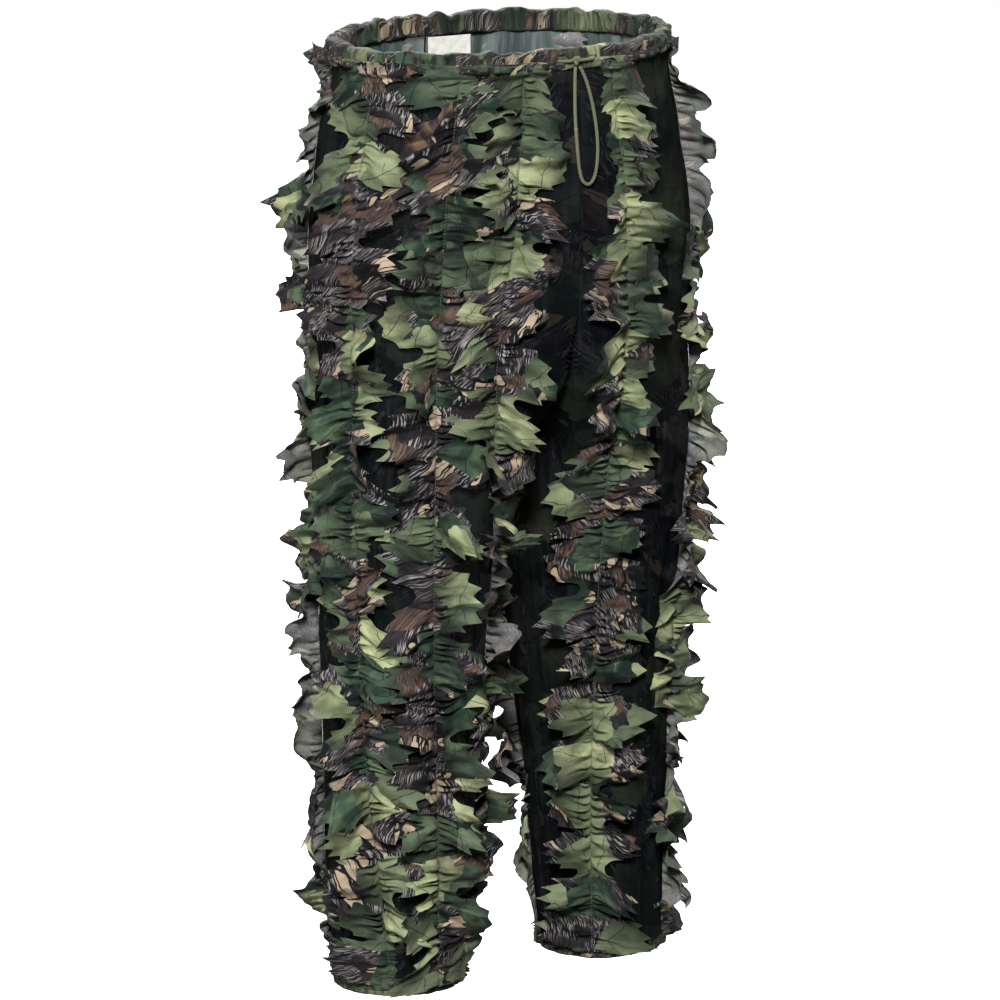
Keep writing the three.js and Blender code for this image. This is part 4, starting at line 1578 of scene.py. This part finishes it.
@dataclass
class LegCloth:
    """The mesh cloth of one leg: a front and a back piece, each above and below mid-thigh."""

    form: Form
    finishes: Finishes
    side: Side
    columns: int = 120
    row_height: float = 0.0055
    hip_spread: float = 0.06
    hip_bend: float = 0.14
    knee_bend: float = 0.12
    tuck: float = 0.003
    crotch_rows: tuple = (0.0004, 0.0016, 0.0036, 0.0064, 0.010)
    flat_radius: float = 0.105
    flat_shift: Pair = (0.2, 0.9)
    flat_stretch: float = 1.03
    fold_spare: float = 1.02

    def bend(self, piece: Piece, span: Span) -> None:
        """Bakes a piece's transform into its mesh."""
        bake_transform(piece)

    def build_piece(self, face: Face, span: Span) -> None:
        """Builds one piece of mesh cloth.

        Args:
            face: front or back.
            span: above or below mid-thigh.
        """
        form = self.form
        if span is Span.UPPER:
            top, foot = form.casing_height - self.tuck, form.strip_break
            nodes = ["seat", "hip", "thigh"]
        else:
            top, foot = form.strip_break, form.hem_top + self.tuck
            nodes = ["knee", "shin"]
        rows = int((foot - top) / self.row_height)
        drops = np.linspace(top, foot, rows)
        if span is Span.UPPER:
            crowd = form.crotch - np.array(self.crotch_rows)
            drops = np.unique(np.concatenate([drops, crowd, [form.crotch]]))
        share = np.linspace(0, 1, self.columns)[None, :]
        first = form.first_angle(drops)[:, None]
        angle = first + (180 - first) * share
        if face is Face.BACK:
            angle = 360 - angle
        drop = np.broadcast_to(drops[:, None], angle.shape)
        points = form.point(self.side, angle, drop)
        girth = np.radians(angle - 180) * self.flat_radius
        shift = self.flat_shift[self.side is Side.LEFT]
        flat = np.stack([girth + shift, drop * self.flat_stretch], -1)
        faces = grid_faces(len(drops), self.columns)
        if (self.side is Side.RIGHT) == (face is Face.BACK):
            faces = faces[:, ::-1]
        name = f"cloth_{face.value}_{self.side.word}_{span.value}"
        piece = make_mesh(name, points, faces, self.finishes.mesh, flat)
        self.bend(piece, span)
        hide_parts(*[f"{node}_{face.value}_{self.side.word}" for node in nodes])

    def build(self) -> None:
        """Builds the leg's four pieces."""
        for face in Face:
            for span in Span:
                self.build_piece(face, span)


@dataclass
class ClothSeams:
    """The fine ridges where the mesh cloth is sewn together."""

    form: Form
    finishes: Finishes
    radius: float = 0.0011
    step: float = 0.004
    tuck: float = 0.002

    def ridge(self, name: str, line: Array) -> Piece:
        """Makes one ridge along a line."""
        points, faces, flat = tube(smooth_path(line, self.step), self.radius, 6)
        piece = make_mesh(name, points, faces, self.finishes.mesh, flat)
        return piece

    def build_centre(self) -> None:
        """Runs from the waist down the front, through the crotch and up the back."""
        form = self.form
        top = form.casing_height - self.tuck
        straight = np.linspace(top, form.crotch_curve, 40)
        turn = np.linspace(0, math.pi / 2, 30)[1:]
        curved = form.crotch - (form.crotch - form.crotch_curve) * np.cos(turn) ** 2
        front = [self.centre_point(drop, -1.0) for drop in np.concatenate([straight, curved])]
        back = [self.centre_point(drop, 1.0) for drop in np.concatenate([straight, curved[:-1]])]
        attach(self.ridge("seam_centre", np.array(front + back[::-1])), "seat")

    def centre_point(self, drop: float, sign: float) -> tuple[float, float, float]:
        """A point of the centre seam at a drop, in front for -1 and behind for 1."""
        angle = float(self.form.first_angle(np.array(drop)))
        point = self.form.point(Side.LEFT, -sign * angle, np.array(drop))
        return 0.0, float(point[1]), -float(drop)

    def build_leg(self, cloth: LegCloth) -> None:
        """Runs down the outside of a leg from the waist, and down its inside from the crotch."""
        form = self.form
        for span in Span:
            upper = span is Span.UPPER
            foot = form.strip_break if upper else form.hem_top + self.tuck
            for place, angle, start in (("outer", 180.0, form.casing_height), ("inner", 0.0, form.crotch)):
                drop = np.linspace(start if upper else form.strip_break, foot, 60)
                line = form.point(cloth.side, np.full_like(drop, angle), drop)
                cloth.bend(self.ridge(f"seam_{place}_{cloth.side.word}_{span.value}", line), span)


@dataclass
class Hem:
    """The gathered casing at one ankle."""

    form: Form
    finishes: Finishes
    side: Side
    around: int = 300
    ring: int = 30
    thickness: float = 0.006
    squareness: float = 0.5
    swell: float = 0.0018
    wave: float = 0.0022
    dip: float = 0.003
    flat_width: float = 0.05
    flat_radius: float = 0.095

    def build(self) -> None:
        """Builds the casing as one puckered fold of cloth."""
        form = self.form
        low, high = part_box(f"hem_casing_{self.side.word}")
        turn = np.arange(self.around) / self.around * FULL_TURN
        ring, out, up = rounded_box(self.ring, self.squareness)
        angle, out, up, ring = np.broadcast_arrays(turn[:, None], out, up, ring)
        seed = 31 if self.side is Side.RIGHT else 35
        places = angle / FULL_TURN * LATTICE
        swell = self.swell * lattice_noise(places * 0.75, up + 2, seed) * np.sign(out)
        wave = self.wave * lattice_noise(places * 0.3, 0.5, seed + 1)
        reach = form.hem_half[0] - self.thickness / 2 + out * self.thickness / 2 + swell + wave
        x = self.side.value * form.hem_axis + reach * np.sin(angle)
        y = -reach * np.cos(angle) * form.hem_half[1] / form.hem_half[0]
        dip = self.dip * lattice_noise(places * 0.22, 0.5, seed + 2)
        z = (high.z + low.z) / 2 + up * (high.z - low.z) / 2 + dip
        points = np.stack([x, y, z], -1)
        flat = np.stack([ring / FULL_TURN * self.flat_width + seed * 0.11, angle * self.flat_radius], -1)
        faces = ring_faces(self.around, self.ring)
        hem = make_mesh(f"hem_{self.side.word}", points, faces, self.finishes.woven, flat)
        settle(hem, f"{self.side.word}_shin", f"hem_casing_{self.side.word}")


@dataclass
class LeafCut:
    """The shape to which the leaf strips are cut, as reach at places along one leaf."""

    pitch: float = 0.073
    reach: float = 0.066
    outline: tuple = (
        ((0.0, 0.30), (0.07, 0.38), (0.13, 0.72), (0.22, 0.66), (0.31, 0.93), (0.41, 0.82), (0.52, 1.02))
        + ((0.62, 0.82), (0.73, 0.93), (0.81, 0.64), (0.88, 0.68), (0.94, 0.36), (1.0, 0.30))
    )
    side_steps: int = 4
    hollow: float = 1.25
    point_shift: float = 0.012
    leaf_shift: float = 0.03
    point_sizes: Pair = (0.92, 1.06)
    leaf_sizes: Pair = (0.84, 1.10)
    slant: float = 0.3

    def cut(self, chance: np.random.Generator, pitch: float) -> tuple[Array, Array]:
        """Cuts one leaf with its own small differences.

        Args:
            chance: the random source.
            pitch: this leaf's length along the strip.

        Returns:
            Places along the strip and reaches from its middle, without the last point.
        """
        at, out = np.array(self.outline).T
        free, point, whole = len(at) - 4, self.point_shift, self.leaf_shift
        at[2:-2] += chance.uniform(-point, point, free) + chance.uniform(-whole, whole)
        out[2:-2] *= chance.uniform(*self.point_sizes, free) * chance.uniform(*self.leaf_sizes)
        out[2:-2] *= 1 + chance.uniform(-self.slant, self.slant) * (at[2:-2] - 0.5)
        t = np.arange(self.side_steps) / self.side_steps
        places, reaches = [], []
        for k in range(len(at) - 1):
            # Edges are hollow beside a notch and run out to a point at each tip.
            rising = out[k + 1] > out[k]
            grown = t**self.hollow if rising else 1 - (1 - t) ** self.hollow
            places.append(at[k] + (at[k + 1] - at[k]) * t)
            reaches.append(out[k] + (out[k + 1] - out[k]) * grown)
        return np.concatenate(places) * pitch, np.concatenate(reaches) * self.reach


@dataclass(frozen=True)
class LeafManner:
    """The ranges from which each leaf's own lift, turn, curl and swing are drawn."""

    shares: Pair = (0.78, 1.22)
    turns: Pair = (0.05, 0.42)
    turn_odds: Pair = (0.3, 0.7)
    lifts: Pair = (0.25, 1.20)
    curls: Pair = (2.0, 22.0)
    twists: Pair = (-1.0, 1.0)
    droops: Pair = (-0.002, 0.018)
    sweeps: Pair = (-0.30, 0.34)

    def draw(
        self, chance: np.random.Generator, cut: LeafCut, start: float, pitch: float
    ) -> dict[str, Array]:
        """Draws one leaf's values.

        Args:
            chance: the random source.
            cut: the leaves' shape.
            start: where the leaf starts along the flat strip.
            pitch: its length along the strip.

        Returns:
            The values of each of its columns, by name.
        """
        places, reaches = cut.cut(chance, pitch)
        even = np.arange(len(places)) / len(places)
        turned = chance.uniform(*self.turns) * chance.choice((-1, 1), p=self.turn_odds)
        leaf = {"along": start + even * pitch, "edge": start + places, "reach": reaches}
        leaf["middle"] = np.full(len(places), start + 0.5 * pitch)
        leaf["half"] = np.full(len(places), 0.5 * pitch)
        leaf["lift"] = chance.uniform(*self.lifts) + turned * (2 * even - 1)
        own = (("curl", self.curls), ("twist", self.twists), ("droop", self.droops), ("sweep", self.sweeps))
        for key, ends in own:
            leaf[key] = np.full(len(places), chance.uniform(*ends))
        return leaf


@dataclass(frozen=True)
class LeafCreases:
    """The puckers along a strip's seam, the swells of its leaves and their curled teeth."""

    pitch: float = 0.0165
    wander: float = 9.0
    wander_size: float = 0.030
    near: Pair = (0.0060, 0.0026)
    near_size: float = 0.020
    depth: float = 0.0064
    uneven: float = 0.9
    depth_size: float = 0.022
    long_depth: float = 0.0038
    long_rise: Pair = (0.003, 0.015)
    long_fall: Pair = (0.052, 0.018)
    growth: Pair = (0.004, 0.055)
    cup: float = 0.013
    cup_level: float = 0.4
    swell: float = 0.0045
    swell_pitch: float = 0.043
    swell_turn: float = 3.0
    crumple: float = 0.0080
    crumple_rise: Pair = (0.006, 0.06)
    crumple_sizes: Pair = (0.024, 0.020)
    teeth: float = 0.014
    teeth_rise: Pair = (0.55, 1.0)
    teeth_size: float = 0.014

    def height(
        self, v: Array, out: Array, leaf: dict[str, Array], edge: tuple, seed: int
    ) -> Array:
        """Raises the puckers, the swells and the curling teeth.

        Args:
            v: each point's place along the flat strip.
            out: its distance from the seam.
            leaf: the leaves' own values for each column.
            edge: each row's share of the reach, and the full reach.
            seed: picks the pattern.

        Returns:
            The height added at each point.
        """
        share, full_reach = edge
        phase = FULL_TURN * v / self.pitch + self.wander * lattice_noise(v / self.wander_size, 0.5, seed + 1)
        rest, swing = self.near
        near = out / (rest + swing * lattice_noise(v / self.near_size, 0.5, seed + 4))
        uneven = self.uneven + self.uneven * lattice_noise(v / self.depth_size, 0.5, seed + 5)
        gathers = self.depth * uneven * np.sin(phase) * near * np.exp(1 - near)
        long_reach = smoothstep(*self.long_rise, out)
        long_gathers = self.long_depth * np.sin(phase / 2) * long_reach * smoothstep(*self.long_fall, out)
        grown = smoothstep(*self.growth, out)
        twist = leaf["twist"][:, None]
        across_leaf = (v - leaf["middle"][:, None]) / leaf["half"][:, None]
        cup = self.cup * grown * twist * (self.cup_level - across_leaf**2)
        swell = self.swell * grown * np.sin(FULL_TURN * v / self.swell_pitch + self.swell_turn * twist)
        along, across = self.crumple_sizes
        noise = lattice_noise(v / along, out / across, seed + 2)
        crumple = self.crumple * smoothstep(*self.crumple_rise, out) * noise
        size = (leaf["reach"] / full_reach)[:, None]
        noise = lattice_noise(v / self.teeth_size, 0.5, seed + 3)
        teeth = self.teeth * smoothstep(*self.teeth_rise, share) * noise * size
        return gathers + long_gathers + cup + swell + crumple + teeth


@dataclass
class LeafStrip:
    """One ribbon of cut leaves, gathered and sewn down its middle along a leg."""

    form: Form
    finishes: Finishes
    cloth: LegCloth
    place: str
    angles: tuple[float, ...]
    seed: int
    cut: LeafCut = field(default_factory=LeafCut)
    manner: LeafManner = LeafManner()
    creases: LeafCreases = LeafCreases()
    stations: tuple[float, ...] = (0.030, 0.160, 0.300, 0.450, 0.650, 0.850, 1.000)
    gather: float = 1.40
    fanned: float = 0.86
    rows: int = 12
    sunk: float = -0.0002
    top_drop: float = 0.011
    casing_lift: float = 0.0082
    rim_ease: float = 0.018
    foot_tuck: float = 0.013
    beyond: Pair = (0.03, 0.04)
    table_size: int = 1400
    casing_step: Pair = (0.031, 0.001)
    sight: int = 2
    smoothing: int = 14
    leaf_blend: float = 2.6
    blended: tuple = ("lift", "curl", "twist", "droop", "half", "sweep")
    narrowest: float = 0.35
    row_power: float = 1.1
    edge_power: float = 1.5
    fan_reach: Pair = (0.30, 0.75)
    sweep_reach: Pair = (0.004, 0.03)
    least_lift: float = 0.0003
    least_rises: tuple = ((0.0012, 0.0012), (0.003, 0.03))
    held: float = 0.06
    free_below: float = 0.08
    free_above: Pair = (0.01, 0.09)
    rounding: float = 0.85
    narrow_near: Pair = (0.0, 0.0)
    narrow_ease: Pair = (0.02, 0.03)
    print_shifts: Pair = (0.31, 1.7)
    cover: float = 0.66
    stitch_pitch: float = 0.0034
    stitch_size: Pair = (0.0026, 0.00035)
    stitch_lift: Pair = (0.0021, 0.0014)
    stitch_ends: float = 1.02

    def seam(self) -> None:
        """Lays out the seam's line with its directions, and keeps them by distance along it."""
        top, foot = self.top_drop, self.form.hem_top + self.foot_tuck
        drop = np.linspace(top - self.beyond[0], foot + self.beyond[1], self.table_size)
        angle = hermite(np.array(self.stations), np.array(self.angles), drop)
        side = self.cloth.side
        below, under = self.casing_step
        on_casing = self.casing_lift * smoothstep(below, self.form.casing_height - under, drop)
        line = self.form.point(side, angle, drop, self.sunk + on_casing)
        ahead = self.form.point(side, angle + self.sight, drop)
        behind = self.form.point(side, angle - self.sight, drop)
        sideways = ahead - behind
        sideways[:, 2] = 0
        sideways /= np.linalg.norm(sideways, axis=1, keepdims=True)
        outward = np.cross(sideways, (0, 0, 1.0))
        from_axis = line - np.stack([side.value * self.form.axis(drop), 0 * drop, line[:, 2]], 1)
        outward *= np.sign((outward * from_axis).sum(1, keepdims=True))
        run = np.concatenate([[0], np.cumsum(np.linalg.norm(np.diff(line, axis=0), axis=1))])
        run -= np.interp(top, drop, run)
        self.run, self.line = run, line
        self.sideways = np.stack([softened(sideways[:, k], self.smoothing) for k in range(3)], 1)
        self.outward = np.stack([softened(outward[:, k], self.smoothing) for k in range(3)], 1)
        self.length = float(np.interp(foot, drop, run))
        self.break_run = float(np.interp(self.form.strip_break, drop, run))

    def face(self) -> Face:
        """The face of the leg that the strip is sewn to."""
        return Face.FRONT if self.angles[0] < 180 else Face.BACK

    def spot(self, run: Array, table: Array) -> Array:
        """Reads one of the seam's tables at distances along it."""
        return np.stack([np.interp(run, self.run, table[:, k]) for k in range(3)], -1)

    def draw_leaves(self, hand: float, flat_length: float, seed: int) -> dict[str, Array]:
        """Draws the leaves of one wing.

        Args:
            hand: 1 or -1, the side of the seam.
            flat_length: the wing's length before it is gathered.
            seed: picks its differences.

        Returns:
            The leaves' values for each column, by name.
        """
        chance = np.random.default_rng(seed)
        count = max(int(round(flat_length / self.cut.pitch)), 1)
        shares = chance.uniform(*self.manner.shares, count)
        shares[0] *= 0.75 + 0.25 * hand
        ends = np.concatenate([[0], np.cumsum(shares) / shares.sum()]) * flat_length
        drawn = [self.manner.draw(chance, self.cut, *spot) for spot in zip(ends, np.diff(ends))]
        leaf = {key: np.concatenate([one[key] for one in drawn]) for key in drawn[0]}
        last_reach = self.cut.outline[0][1] * self.cut.reach
        last_column = {"along": flat_length, "edge": flat_length, "reach": last_reach}
        leaf = {key: np.append(row, last_column.get(key, row[-1])) for key, row in leaf.items()}
        for key in self.blended:
            leaf[key] = softened(leaf[key], self.leaf_blend)
        return leaf

    def wing(self, hand: float, first: float, last: float, seed: int) -> tuple[Array, Array]:
        """Shapes one wing of the strip between two places along the seam.

        Args:
            hand: 1 or -1, the side of the seam.
            first: where it starts along the seam.
            last: where it ends.
            seed: picks its differences.

        Returns:
            The points, one row of rows for each column, and their flat coordinates.
        """
        leaf = self.draw_leaves(hand, (last - first) * self.gather, seed)
        column_run = first + leaf["along"] / self.gather
        narrowing = self.narrowing(hand, column_run)
        leaf["lift"] = leaf["lift"] * narrowing * self.freedom(column_run)
        share = (np.arange(self.rows + 1) / self.rows)[None, :] ** self.row_power
        kept = self.narrowest + (1 - self.narrowest) * narrowing
        out = (leaf["reach"] * kept)[:, None] * share
        v = leaf["along"][:, None] + (leaf["edge"] - leaf["along"])[:, None] * share**self.edge_power
        squeeze, reach = 1 / self.gather, self.cut.reach
        fan_from, fan_to = self.fan_reach
        fan = (self.fanned - squeeze) * smoothstep(reach * fan_from, reach * fan_to, out)
        run = first + v * squeeze + (v - leaf["middle"][:, None]) * fan
        bend = leaf["curl"][:, None]
        rise = np.broadcast_to(leaf["lift"][:, None], out.shape)
        across = (np.sin(rise) - np.sin(rise - bend * out)) / bend
        height = (np.cos(rise - bend * out) - np.cos(rise)) / bend
        height = height + self.creases.height(v, out, leaf, (share, reach), seed)
        least = self.least_lift
        for lift, by in self.least_rises:
            least = least + lift * smoothstep(0.0, by, out)
        height = np.maximum(height, least) - self.roundness(first + v * squeeze) * across**2 / 2
        run = run + leaf["droop"][:, None] * (out / reach) ** 2
        swept = leaf["sweep"][:, None] * out * smoothstep(*self.sweep_reach, out)
        run = self.kept_between_rims(run + swept)
        points = self.spot(run, self.line)
        points = points + self.spot(run, self.sideways) * (hand * across)[..., None]
        points = self.form.keep_inside(points + self.spot(run, self.outward) * height[..., None])
        aside, ahead = self.print_shifts
        flat_out = hand * out + aside * (self.seed % 7)
        flat = np.stack([flat_out, v + first * self.gather + ahead * (self.seed % 5)], -1)
        return points, flat

    def freedom(self, run: Array) -> Array:
        """How freely leaves lift: little where the waist and the hem draw them flat."""
        from_waist = smoothstep(0.0, self.free_below, run)
        near, far = self.free_above
        from_hem = smoothstep(self.length - near, self.length - far, run)
        return self.held + (1 - self.held) * from_waist * from_hem

    def kept_between_rims(self, run: Array) -> Array:
        """Eases places along the seam that pass the waist or the hem back towards it.

        Args:
            run: places along the seam.

        Returns:
            The places, none far beyond either end.
        """
        foot = self.length - self.rim_ease / 2
        below = np.maximum(run - foot, 0)
        above = np.maximum(self.rim_ease / 4 - run, 0)
        eased = self.rim_ease * (np.exp(-above / self.rim_ease) - np.exp(-below / self.rim_ease))
        return np.clip(run, self.rim_ease / 4, foot) + eased

    def roundness(self, run: Array) -> Array:
        """The cloth's curvature across the seam, from its distance to the leg's axis."""
        drop = -self.spot(run, self.line)[..., 2]
        return self.rounding / self.form.radius(np.interp(drop, self.stations, self.angles), drop)

    def narrowing(self, hand: float, run: Array) -> Array:
        """How much of its width a wing keeps where something hangs beside it."""
        start, end = self.narrow_near
        if hand > 0 or end <= start:
            return np.ones_like(run)
        drop = -self.spot(run, self.line)[:, 2]
        before, after = self.narrow_ease
        return 1 - smoothstep(start - before, start, drop) * smoothstep(end + after, end, drop)

    def build_part(self, span: Span) -> None:
        """Builds the strip above or below mid-thigh, with its stitching."""
        first, last = (0.0, self.break_run) if span is Span.UPPER else (self.break_run, self.length)
        seed = self.seed * 100 + (0 if span is Span.UPPER else 50)
        parts, flats, faces, base = [], [], [], 0
        for hand in (-1.0, 1.0):
            points, flat = self.wing(hand, first, last, seed + int(5 + 4 * hand))
            grid = grid_faces(points.shape[0], points.shape[1]) + base
            normal_out = (hand > 0) == (self.cloth.side is Side.RIGHT)
            faces.append(grid if normal_out else grid[:, ::-1])
            parts.append(points.reshape(-1, 3))
            flats.append(flat.reshape(-1, 2))
            base += len(parts[-1])
        side = self.cloth.side.word
        name = f"leaves_{self.place}_{side}_{span.value}"
        points, faces, flat = np.concatenate(parts), np.concatenate(faces), np.concatenate(flats)
        piece = make_mesh(name, points, faces, self.finishes.leaf, flat)
        self.cloth.bend(piece, span)
        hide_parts(f"strip_{self.place}_{side}_{span.value}")
        self.build_stitches(span, first, last)

    def build_stitches(self, span: Span, first: float, last: float) -> None:
        """Sews the strip down with a row of short stitches."""
        (long, thick), (rise, fall) = self.stitch_size, self.stitch_lift
        count = int((last - first) / self.stitch_pitch)
        middle = first + (np.arange(count) + 0.5) * self.stitch_pitch
        t = np.linspace(-0.5, 0.5, 5)[None, :]
        run = middle[:, None] + t * long
        across, outward = self.spot(run, self.sideways), self.spot(run, self.outward)
        centre = self.spot(run, self.line) + outward * (rise - fall * (2 * t) ** 2)[..., None]
        size = thick * np.sqrt(self.stitch_ends - (2 * t) ** 2)
        corners = []
        for a, b in ((1, 0), (0, 1), (-1, 0), (0, -1)):
            corners.append(centre + (across * a + outward * b) * size[..., None])
        points = np.stack(corners, 2)
        ring = grid_faces(5, 4, closed=True)
        faces = (ring[None] + (np.arange(count) * 20)[:, None, None]).reshape(-1, 4)
        name = f"stitches_{self.place}_{self.cloth.side.word}_{span.value}"
        row = make_mesh(name, points, faces, self.finishes.thread)
        self.cloth.bend(row, span)

    def build(self) -> None:
        """Builds the whole strip."""
        self.seam()
        for span in Span:
            self.build_part(span)


def dress_kept_nodes(frame: dict, finishes: Finishes) -> None:
    """Gives the frame's own pieces that stay their finishes."""
    for name in ("waist_elastic", "hem_elastic_right", "hem_elastic_left"):
        node = frame["nodes"][name]
        node.data.materials.clear()
        node.data.materials.append(finishes.elastic)


RIGHT_STRIPS = {
    "inner": (75, 79, 82, 77, 47, 40, 40),
    "front": (104, 111, 112, 111, 106, 96, 90),
    "outer": (157, 158, 158, 158, 157, 146, 132),
    "rear": (223, 219, 216, 215, 215, 212, 208),
    "back": (278, 278, 276, 279, 285, 288, 290),
}
LEFT_STRIPS = {
    "front": (69, 72, 71, 66, 57, 50, 48),
    "outer": (137, 146, 147, 140, 126, 130, 134),
    "rear": (208, 206, 204, 202, 200, 200, 200),
    "back": (256, 254, 252, 250, 252, 254, 256),
    "inner": (289, 287, 284, 288, 303, 312, 316),
}


def main() -> None:
    """Builds the trousers piece by piece."""
    logging.basicConfig(level=logging.INFO, format="%(name)s: %(message)s")
    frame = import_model()
    studio = Studio()
    studio.place_camera()
    finishes = Finishes()
    form = Form()
    Drawstring(form, finishes).build()
    studio.build()
    Waistband(form, finishes).build()
    LOG.info("waistband")
    CareLabel(form, finishes).build()
    seams = ClothSeams(form, finishes)
    seams.build_centre()
    seed = 1
    for side, strips in ((Side.RIGHT, RIGHT_STRIPS), (Side.LEFT, LEFT_STRIPS)):
        cloth = LegCloth(form, finishes, side)
        cloth.build()
        seams.build_leg(cloth)
        Hem(form, finishes, side).build()
        LOG.info("%s leg's cloth and hem", side.word)
        for place, angles in strips.items():
            strip = LeafStrip(form, finishes, cloth, place, angles, seed)
            if side is Side.LEFT and place == "front":
                strip.narrow_near = (-0.03, 0.15)
            strip.build()
            LOG.info("leaf strip %s %s, %.0f mm of seam", side.word, place, 1000 * strip.length)
            seed += 1
    dress_kept_nodes(frame, finishes)
    bpy.context.view_layer.update()


if __name__ == "__main__":
    main()
